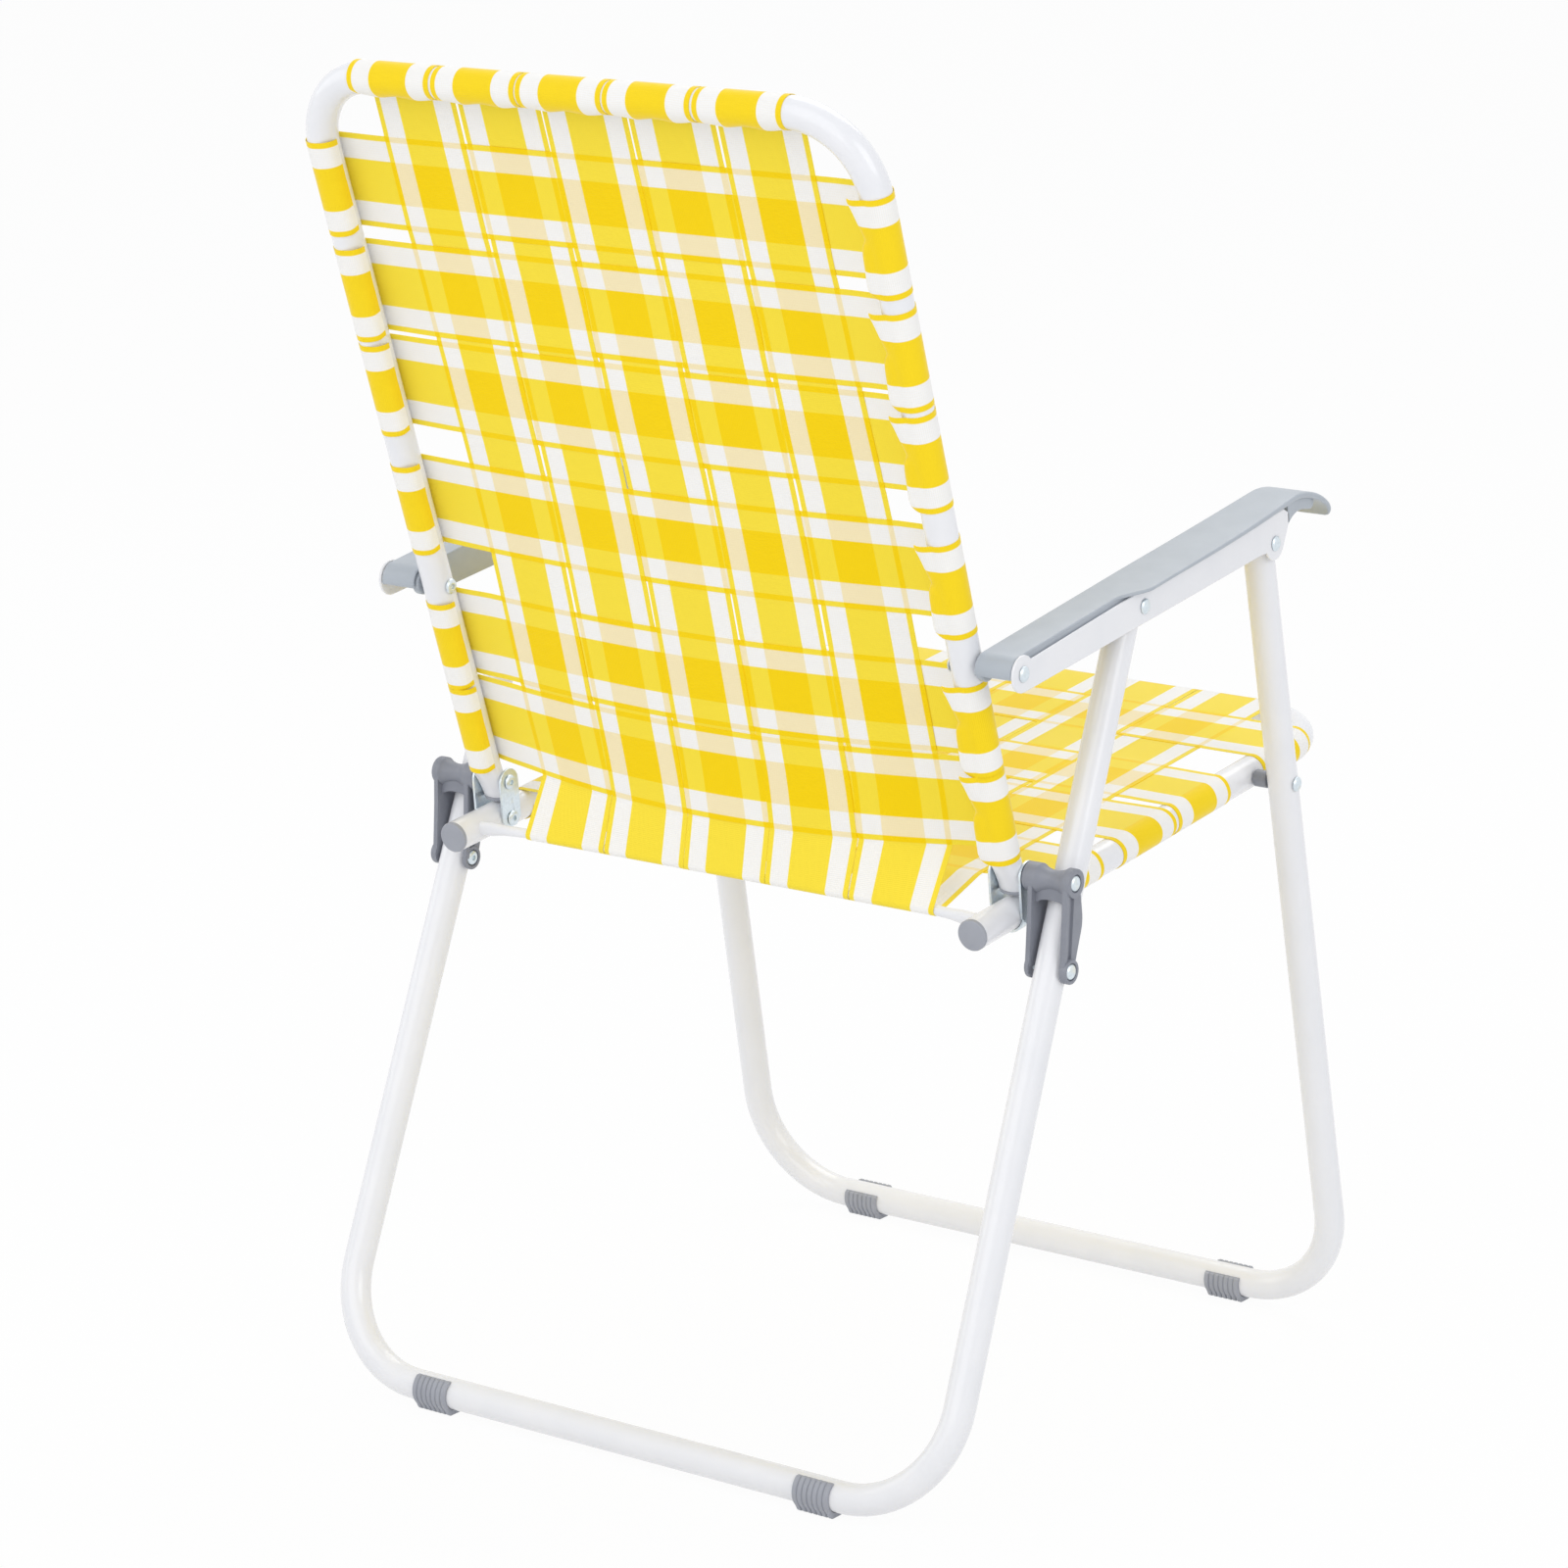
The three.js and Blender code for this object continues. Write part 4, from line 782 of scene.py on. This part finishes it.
back_foot, back_corner = on_back(0, BACK_FOOT, 0)[1:], on_back(0, BACK_TOP, 0)[1:]
points, directions = bent_path(u_corners(back_foot, SIDE_X, back_corner, BACK_TOP_X), BACK_BEND)
stops = np.linspace(3, 33, 11)[:, None]
points = np.concatenate([points[:1], points[0] + directions[0] * stops, points[1:-1],
                         (points[-1] - directions[-1] * stops)[::-1], points[-1:]])
directions = np.concatenate([np.repeat(directions[:1], len(stops) + 1, 0), directions[1:-1],
                             np.repeat(directions[-1:], len(stops) + 1, 0)])
made = dressed("back_tube", [pressed(tube_skin(points, directions))], "white_paint", "back", "back_frame")
print("back tube", len(made.data.vertices), "points")

# %% [markdown]
# ## Metal and plastic
# The rivets and hinge plates are bright zinc with the faint crystals of plating. The links, spacers, caps
# and feet are grey plastic, and the arm pads a paler, smoother one. Each plastic could have its own tree,
# but they differ only in colour, grain and gloss, so one loop makes them.

# %% Finishes: zinc and plastics
PLASTICS = {"link_plastic": ((140, 143, 153), (130, 133, 143), 900.0, 0.00015, 0.42, 0.14),
            "cap_plastic": ((163, 166, 175), (153, 156, 165), 900.0, 0.00015, 0.45, 0.14),
            "pad_plastic": ((178, 185, 193), (170, 177, 185), 700.0, 0.00012, 0.36, 0.12)}
shader, start = new_finish("zinc")
place = start.node("ShaderNodeTexCoord", output="Object")
crystals = start.node("ShaderNodeTexVoronoi", None, {"Vector": place, "Scale": 620.0}, "Distance")
smear = place.noise(130.0, 4.0)
tarnish = ((smear - 0.5) * 3.0).clamped().between(colour(226, 236, 242), colour(240, 236, 214))
plated = (crystals * 0.5).clamped().between(tarnish, colour(196, 206, 214))
plug(shader, {"Base Color": plated, "Metallic": 1.0, "Roughness": smear * 0.2 + 0.26})
bumped(shader, smear, 0.15, 0.0001)
for slot, looks in PLASTICS.items():
    speckled(*new_finish(slot), *looks)
print("finishes", sorted(finishes))

# %% [markdown]
# ## Parts with rounded edges
# The end plugs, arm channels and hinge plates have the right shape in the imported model, but knife-sharp
# edges. They could be drawn again. It is simpler to merge a copy of each into one skin, so that a narrow
# bevel lets every edge catch the light.

# %% Rounded copies of CAD parts
HANDS = {"left": 1, "right": -1}
PAIRS = {"back_end_plug": ("cap_plastic", 0.5), "arm_channel": ("white_paint", 0.5),
         "hinge_plate_inner": ("zinc", 0.3), "hinge_plate_outer": ("zinc", 0.3)}


def rounded(node, slot, width):
    """A merged copy of a CAD node, its flat faces joined and its edges beveled by a width."""
    mesh = nodes[node].data.copy()
    mesh.name = f"{node}_rounded"
    work = bmesh.new()
    work.from_mesh(mesh)
    bmesh.ops.remove_doubles(work, verts=work.verts, dist=2e-6)
    bmesh.ops.dissolve_limit(work, angle_limit=np.radians(1.0), verts=work.verts, edges=work.edges)
    for edge in work.edges:
        edge.smooth = edge.calc_face_angle(0.0) < np.radians(38)
    for face in work.faces:
        face.smooth = True
    work.to_mesh(mesh)
    work.free()
    mesh.materials.clear()
    mesh.materials.append(finishes[slot])
    made = placed(f"{node}_rounded", mesh)
    bevel = made.modifiers.new("edges", "BEVEL")
    bevel.width, bevel.segments, bevel.limit_method = width * MM, 2, "ANGLE"
    bevel.angle_limit = np.radians(40)
    bevel.use_clamp_overlap = True
    made.modifiers.new("normals", "WEIGHTED_NORMAL").keep_sharp = True
    return settle(made, slot, nodes[node]["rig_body"], node)


for stem, (slot, width) in PAIRS.items():
    for hand in HANDS:
        rounded(f"{stem}_{hand}", slot, width)
print("rounded", 2 * len(PAIRS), "parts")

# %% [markdown]
# ## Folding links
# Each link is one moulding with two side plates that straddle the rear leg, joined by a hub with a waist
# and an arched web, with a raised ring at each pivot. Booleans could join these, but skins that run into
# each other look the same and stay clean.

# %% Folding links
LINK_LENGTH, LINK_GAP = 52.11, 10.4
HUB_R, FOOT_R, AXIS_R, CLEAR_OF_PLATE = 8.7, 7.4, 0.05, 0.4
rail, pivot = legs["rear_leg"]
leg_up = unit(pivot - rail)
on_leg = rail + ((HINGE - rail) @ leg_up) * leg_up
LINK_FOOT = on_leg - leg_up * np.sqrt(LINK_LENGTH**2 - np.sum((HINGE - on_leg) ** 2))
link_down = (LINK_FOOT - HINGE) / LINK_LENGTH
link_rear = np.array([-link_down[1], link_down[0]])
link_x = leg_side_x((HINGE[1] + LINK_FOOT[1]) / 2, pivot)
LINK_IN, LINK_OUT, HUB_IN = link_x - LINK_GAP, link_x + LINK_GAP, 203.6
LINK_FACE, LINK_BACK = LINK_OUT + 4.6, LINK_IN - 3.2


def turned(profile, place, sides=40):
    """A profile of way and radius turned about a line: place() takes the way along it and two across."""
    along, radius = np.array(profile).T[..., None]
    angle = full_turn(sides)
    return place(along, radius * np.cos(angle), radius * np.sin(angle))


def about(centre):
    """The place() of a line across the chair through a centre in side view."""
    return lambda x, y, z: on_plane(x, y, z, centre, *np.eye(2))


def rimmed(low, high, radius, rim):
    """The profile of a short rod, its rims cut off."""
    return [(low, AXIS_R), (low, radius - rim), (low + rim, radius),
            (high - rim, radius), (high, radius - rim), (high, AXIS_R)]


def both_hands(stem, kind, skins, slot, body):
    """The skins as the left piece, and the same on the other side of the chair as the right one."""
    for hand, mirror in HANDS.items():
        sided = [skin * np.array([mirror, 1, 1]) for skin in skins]
        dressed(f"{stem}_{hand}_{kind}", sided, slot, body, f"{stem}_{hand}")


def ring_end(face, inward, radius):
    """The end of a boss: its rounded rim, and the recess for a rivet's head."""
    steps = [(0.6, radius), (0.15, radius - 0.2), (0, radius - 0.6), (0, 5.7), (0.3, 5.35), (1.4, 5.3),
             (1.4, AXIS_R)]
    return [(face + inward * depth, size) for depth, size in steps]


def plate_skin(base, outward):
    """A side plate: a section with a flange, a channel and a rear rib, carried down the link."""
    down = np.linspace(0, LINK_LENGTH, 48)[:, None]
    front = -eased(down, [0, 9, 21, 27, 44, 52], [7.4, 9.6, 12.4, 12.4, 8.0, 6.4], 2)
    rear = eased(down, [0, 20, 52], [8.0, 6.9, 6.6], 6)
    zero = 0 * down
    aside = np.concatenate([front, front, front + 0.5, zero - 2.0, zero - 1.5, rear - 3.8, rear - 3.3,
                            rear - 2.9, rear - 0.5, rear, rear], axis=1)
    lift = np.array([0.0, 1.8, 2.3, 2.3, 0.9, 0.9, 3.0, 3.4, 3.4, 2.9, 0.0])
    return on_plane(base + outward * lift, down, aside, HINGE, link_down, link_rear)


def web_skin():
    """The web behind the leg: its lower edge is an arch of 4 mm between the plates."""
    u = np.linspace(-1, 1, 25)[:, None]
    low = 15.5 - 4 * np.sqrt(1 - u**2)
    down = np.concatenate([0 * u + 2, low, low, 0 * u + 2], axis=1)
    aside = np.array([0.2, 0.2, 3.2, 3.2])
    return on_plane(link_x + u * (LINK_GAP + 0.5), down, aside, HINGE, link_down, link_rear)


def foot_ring(plate, face, outward):
    """A ring at the lower pivot. It starts a little off the plate, so that no faces lie in one plane."""
    start = plate + outward * CLEAR_OF_PLATE
    return turned([(start, AXIS_R), (start, FOOT_R), *ring_end(face, -outward, FOOT_R)],
                  about(LINK_FOOT))


way = np.linspace(0, 1, 17)
waist = np.column_stack([LINK_IN + 2 + way * (2 * LINK_GAP - 3), 8.4 - 2.6 * np.sin(np.pi * way) ** 0.8])
hub = [(HUB_IN, AXIS_R), (HUB_IN, HUB_R - 0.5), (HUB_IN + 0.5, HUB_R), (LINK_IN + 1.4, HUB_R),
       *map(tuple, waist), (LINK_OUT - 0.6, HUB_R), *ring_end(LINK_FACE, -1, HUB_R)]
link_skins = [turned(hub, about(HINGE)), foot_ring(LINK_OUT, LINK_FACE, 1),
              foot_ring(LINK_IN, LINK_BACK, -1), plate_skin(LINK_OUT, 1), plate_skin(LINK_IN, -0.94),
              web_skin()]
both_hands("folding_link", "moulding", link_skins, "link_plastic", "links")
print("links", round(link_x, 2), LINK_FOOT.round(2))

# %% [markdown]
# ## Caps and spacers
# A grey cap closes each rear end of the seat tube, and a short spacer keeps each front leg off it. Bevels
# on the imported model's few facets would still look faceted, so both are turned shapes with a rounded rim:
# the cap about the seat tube's line, the spacer about a line across the chair.

# %% Caps and spacers
SPACER_RIM = 0.4
CAP = [(-45.5, AXIS_R), (-45.5, 8.5), (-45.35, 9.0), (-45.0, 9.35), (-44.5, 9.5), (-43, 9.5), (-43, 8.0),
       (-38, 8.0), (-38, AXIS_R)]
for hand, mirror in HANDS.items():
    cap, spacer = f"seat_end_cap_{hand}", f"seat_leg_spacer_{hand}"
    cap_skin = turned(CAP, lambda q, x, m: on_seat(mirror * SIDE_X + x, q, m), 48)
    dressed(f"{cap}_turned", [cap_skin], "cap_plastic", "seat", cap)
    low, high = np.array(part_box(spacer)) / MM
    radius = (high - low)[2] / 2
    spacer_skin = turned(rimmed(low[0], high[0], radius, SPACER_RIM), about((low + high)[1:] / 2))
    dressed(f"{spacer}_turned", [spacer_skin], "link_plastic", nodes[spacer]["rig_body"], spacer)
print("caps and spacers, spacer radius", round(radius, 2))

# %% [markdown]
# ## Rivets
# Each rivet is a pin with a low domed head on the outside of the chair and a hollow, spread end on the
# inside. Spheres and cylinders could be joined, but one profile holds every step, and a full turn of it
# is one skin.

# %% Rivets
RIVET_RIM = [(3.5, -0.3), (4.3, -0.8), (4.7, -1.45), (4.55, -1.7), (2.4, -1.7)]
DOMED = np.array([(AXIS_R, 0.0), (1.2, -0.02), (2.4, -0.1), *RIVET_RIM])
HOLLOW = np.array([(AXIS_R, -1.4), (1.45, -1.4), (1.6, -0.15), (1.9, 0.0), (2.6, -0.05), *RIVET_RIM])
PLAIN_END = np.array([(AXIS_R, 0.0), (2.2, 0.0), (2.4, -0.2)])


def rivet_skin(node):
    """The rivet's profile turned about its own axis, with a head wherever the CAD rivet has one."""
    points = np.array([vertex.co for vertex in nodes[node].data.vertices]) / MM
    low, high = points.min(axis=0), points.max(axis=0)
    middle = (low + high)[1:] / 2
    radius = np.linalg.norm(points[:, 1:] - middle, axis=1)
    ends = []
    for end, inward in ((low[0], 1), (high[0], -1)):
        headed = radius[np.abs(points[:, 0] - end) < 2.2].max() > 3.5
        outside = inward * low[0] < 0
        outline = (DOMED if outside else HOLLOW) if headed else PLAIN_END
        ends.append(np.column_stack([end - inward * outline[:, 1], outline[:, 0]]))
    return turned(np.concatenate([ends[0], ends[1][::-1]]), about(middle), 32)


rivets = [name for name in sorted(nodes) if name.rsplit("_", 1)[0].endswith("rivet")]
for name in rivets:
    dressed(f"{name}_turned", [rivet_skin(name)], "zinc", nodes[name]["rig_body"], name)
print("rivets", len(rivets))

# %% [markdown]
# ## Feet
# Each foot is a grey clip that grips a ground rail, open above, flat where it stands and ribbed round the
# tube. The ribs could be a bump in the finish, but they show in the outline. So the section across the
# clip, with six shallow grooves, is carried round the rail.

# %% Feet
FOOT_HALF, FOOT_WALL, FOOT_WRAP, FOOT_FLAT, FOOT_STEPS = 12.75, 1.9, 265.0, np.radians(20), 90
GROOVE_PITCH, GROOVES_TO, GROOVE_DEPTH = 3.64, 10.9, 0.42
FEET_X = {"left": 141.5, "right": -144.5}


def foot_skin(rail, x, leg_up):
    """The clip's section carried round the rail, its wall thicker below, where it is level with the floor."""
    down = np.arctan2(-leg_up[1], -leg_up[0])
    angle = down + np.radians(np.linspace(-FOOT_WRAP / 2, FOOT_WRAP / 2, FOOT_STEPS))
    tilt = np.abs((angle + np.pi / 2 + np.pi) % (2 * np.pi) - np.pi)
    inner = TUBE_R + 0.3
    level = RAIL_Z / np.cos(np.clip(tilt, 0, FOOT_FLAT)) - inner
    wall = FOOT_WALL + (level - FOOT_WALL) * (1 - gentle((tilt - FOOT_FLAT) / np.radians(26)))
    step = np.arange(FOOT_STEPS)
    lip = np.clip(np.minimum(step, step[::-1]) / 3, 0.35, 1)
    place = np.linspace(-FOOT_HALF, FOOT_HALF, 121)
    groove = np.clip(np.cos(2 * np.pi * place / GROOVE_PITCH + np.pi), 0, 1) ** 3
    groove = groove * (np.abs(place) < GROOVES_TO)
    rim = np.clip((FOOT_HALF - np.abs(place)) / 0.6, 0, 1) ** 0.5
    depth = (0.55 + 0.45 * rim) * (1 - GROOVE_DEPTH * groove)
    section_x = np.concatenate([place, [FOOT_HALF, 6, 0, -6, -FOOT_HALF]])
    section_h = np.concatenate([depth, np.zeros(5)])
    radius = inner + (wall * lip)[:, None] * section_h
    y, z = rail[0] + radius * np.cos(angle)[:, None], rail[1] + radius * np.sin(angle)[:, None]
    return np.stack([np.broadcast_to(x + section_x, radius.shape), y, z], axis=-1)


for body, (rail, pivot) in legs.items():
    for hand, x in FEET_X.items():
        stem = f"{body.split('_')[0]}_foot_{hand}"
        dressed(f"{stem}_clip", [foot_skin(rail, x, pivot - rail)], "cap_plastic", body, stem)
print("feet ready, rails at", [pair[0].round(1).tolist() for pair in legs.values()])

# %% [markdown]
# ## The shell of an arm pad
# A pad is one moulded shell: a half barrel round the rear pivot, a run forward that spreads over the
# arm's outer wall, and a lip that turns down. It could be a box with subdivision, but in side view it
# follows one line, so a rounded section is carried along that.

# %% Shell of the arm pads
ARM_BACK, ARM_FRONT = np.array([156.699 + SHIFT, 497.995]), legs["front_leg"][1]
ARM_LENGTH = np.linalg.norm(ARM_FRONT - ARM_BACK)
arm_forward = (ARM_FRONT - ARM_BACK) / ARM_LENGTH
arm_up = np.array([arm_forward[1], -arm_forward[0]])
ARM_IN, ARM_OUT, NECK, WEB_REAR, LIP_FROM = 205.8, 231.2, 107.0, 145.0, 294.4
PAD_IN, BARREL_OUT, PAD_WIDE, LIP_NARROW = ARM_IN - 1.2, 229.2, 34.2, 4.5
BARREL_R, LIP_REACH, LIP_FALL, LIP_TURN = 9.3, 46.5, 23.0, 72
BARREL_STEPS, RUN_STEPS, LIP_STEPS = 26, 120, 29


def on_arm(x, t, h):
    """A point of the arm: t forward of its rear pivot, h above the line between its end pivots."""
    return on_plane(x, t, h, ARM_BACK, arm_forward, arm_up)


def pad_line():
    """The shell's middle in side view, its thickness and outer edge: barrel, run, and lip on an ellipse."""
    turn = np.radians(np.linspace(188, 93, BARREL_STEPS))
    barrel = BARREL_R * np.stack([np.cos(turn), np.sin(turn)], axis=-1)
    t = np.linspace(2, 290, RUN_STEPS)
    part = np.clip((t - WEB_REAR) / (LIP_FROM - WEB_REAR), 0, 1)
    wall_top = 14.2 + 4.2 * (t - WEB_REAR) / (ARM_LENGTH - WEB_REAR)
    thick = 2.3 + 1.5 * part
    run = np.where(t < WEB_REAR, 9.25 + t * 0.0512, wall_top + 1.4 * (1 + part**2) + thick / 2)
    run = np.convolve(np.pad(run, 6, mode="reflect", reflect_type="odd"), np.ones(13) / 13, mode="valid")
    turn = np.radians(np.linspace(0, LIP_TURN, LIP_STEPS + 1)[1:])
    lip = np.stack([LIP_FROM + LIP_REACH * np.sin(turn) / np.sin(turn[-1]),
                    run[-1] + 0.3 - LIP_FALL * (1 - np.cos(turn)) / (1 - np.cos(turn[-1]))], axis=-1)
    line = np.concatenate([barrel, np.column_stack([t, run]), lip])
    spread = gentle((t - NECK + 6) / 26)
    run_outer = BARREL_OUT + spread * (ARM_IN + PAD_WIDE - BARREL_OUT) - LIP_NARROW * part**3
    outer = np.concatenate([np.full(BARREL_STEPS, BARREL_OUT), run_outer,
                            np.full(LIP_STEPS, ARM_IN + PAD_WIDE - LIP_NARROW)])
    thickness = np.concatenate([np.full(BARREL_STEPS, 2.3), thick, np.linspace(thick[-1], 3.7, LIP_STEPS)])
    return line, thickness, outer


def shell_skin(line, thickness, outer):
    """A section with rounded corners carried along the line, drawn in at its end, thin at start and tip."""
    length = lengths_along(line)
    left = length[-1] - length
    inset = 6 * (1 - np.sqrt(1 - (1 - np.clip(left / 13, 0, 1)) ** 2))
    inner, outer = PAD_IN + inset, outer - inset
    tip = np.clip(left / 2.2 + 0.08, 0, 1)
    thickness = thickness * np.sqrt(1 - (1 - tip) ** 2) * np.clip(0.5 + length / 3, 0, 1)
    heading = unit(np.gradient(line, axis=0))
    above = np.stack([-heading[:, 1], heading[:, 0]], axis=-1)
    half_w, half_h = (outer - inner)[:, None] / 2, thickness[:, None] / 2
    corner = np.minimum(half_h * 0.95, half_w)
    sign_x, sign_h = np.repeat([[1, -1, -1, 1], [1, 1, -1, -1]], 7, axis=1)
    quarter = np.radians(np.linspace(0, 90, 7))
    around = np.concatenate([quarter + count * np.pi / 2 for count in range(4)])
    section_x = (inner + outer)[:, None] / 2 + sign_x * (half_w - corner) + corner * np.cos(around)
    section_h = sign_h * (half_h - corner) + corner * np.sin(around)
    t, h = line.T[..., None] + above.T[..., None] * section_h
    return on_arm(section_x, t, h)


pad_middle, pad_thickness, pad_outer = pad_line()
shell = shell_skin(pad_middle, pad_thickness, pad_outer)
print("pad shell", shell.shape, "ends at", pad_middle[-1].round(1))

# %% [markdown]
# ## What hangs under the pad
# A skirt hangs from the shell's inner edge, a flange from its outer edge, and a web fills the corner
# under the lip. At the rear pivot a round boss comes through. Each could be cut from a solid, but they
# are thin walls, so each is a narrow section whose upper edge follows the shell's line.

# %% Skirt, flange, web and boss
def hung(t, low, line, x, shares):
    """A wall from a low edge up to a line: each corner of its section has an x and a share of the height."""
    top = np.interp(t, *line.T)
    return on_arm(np.array(x), t, low + (top - low) * np.array(shares))


run, ahead = pad_middle[BARREL_STEPS:BARREL_STEPS + RUN_STEPS], pad_middle[BARREL_STEPS + 4:] - (0, 1)
# The skirt's lower edge rises slowly to the front
t = np.linspace(4, 262, 60)[:, None]
low = np.interp(t, [4, 11, 240, 256, 262], [-4, -9.4, -4.2, -2, 6])
skirt = hung(t, low, run, PAD_IN + np.array([0, 1, 1, 0.7, 0.3, 0]), [1, 1, 0.02, 0, 0, 0.02])
# The flange stands inside the arm's outer wall, from the barrel past the neck
t = np.linspace(0, 132, 40)[:, None]
low = np.interp(t, [0, 20, 40, 132], [6.0, 4.0, 1.0, 6.0])
flange = hung(t, low, run, BARREL_OUT - 1.3 + np.array([0, 1.1, 1.1, 0]), [1, 1, 0, 0])
# The web's lower edge rises in a hollow curve, then follows the lip down
t = np.linspace(293, 323, 31)[:, None]
places = [293, 297, 301, 305, 311, 318, 321, 323]
low = eased(t, places, [6.8, 9.9, 11.7, 12.7, 12.4, 10.4, 9.8, 11.5], 1)
x = [ARM_IN + 1.6, ARM_OUT - 0.6, ARM_OUT, ARM_OUT, ARM_IN + 1, ARM_IN + 1]
web = hung(t, low, ahead, x, [0, 0, 0.1, 1, 1, 0.1])
boss = turned(rimmed(203.3, 208.0, 7.5, 0.8), on_arm, 36)
pad_skins = [shell, skirt, flange, web, boss]
both_hands("arm_pad", "shell", pad_skins, "pad_plastic", "arms")
print("pads of", len(pad_skins), "skins")

# %% [markdown]
# ## Finish
# The view layer is brought up to date.

# %% Finish
bpy.context.view_layer.update()
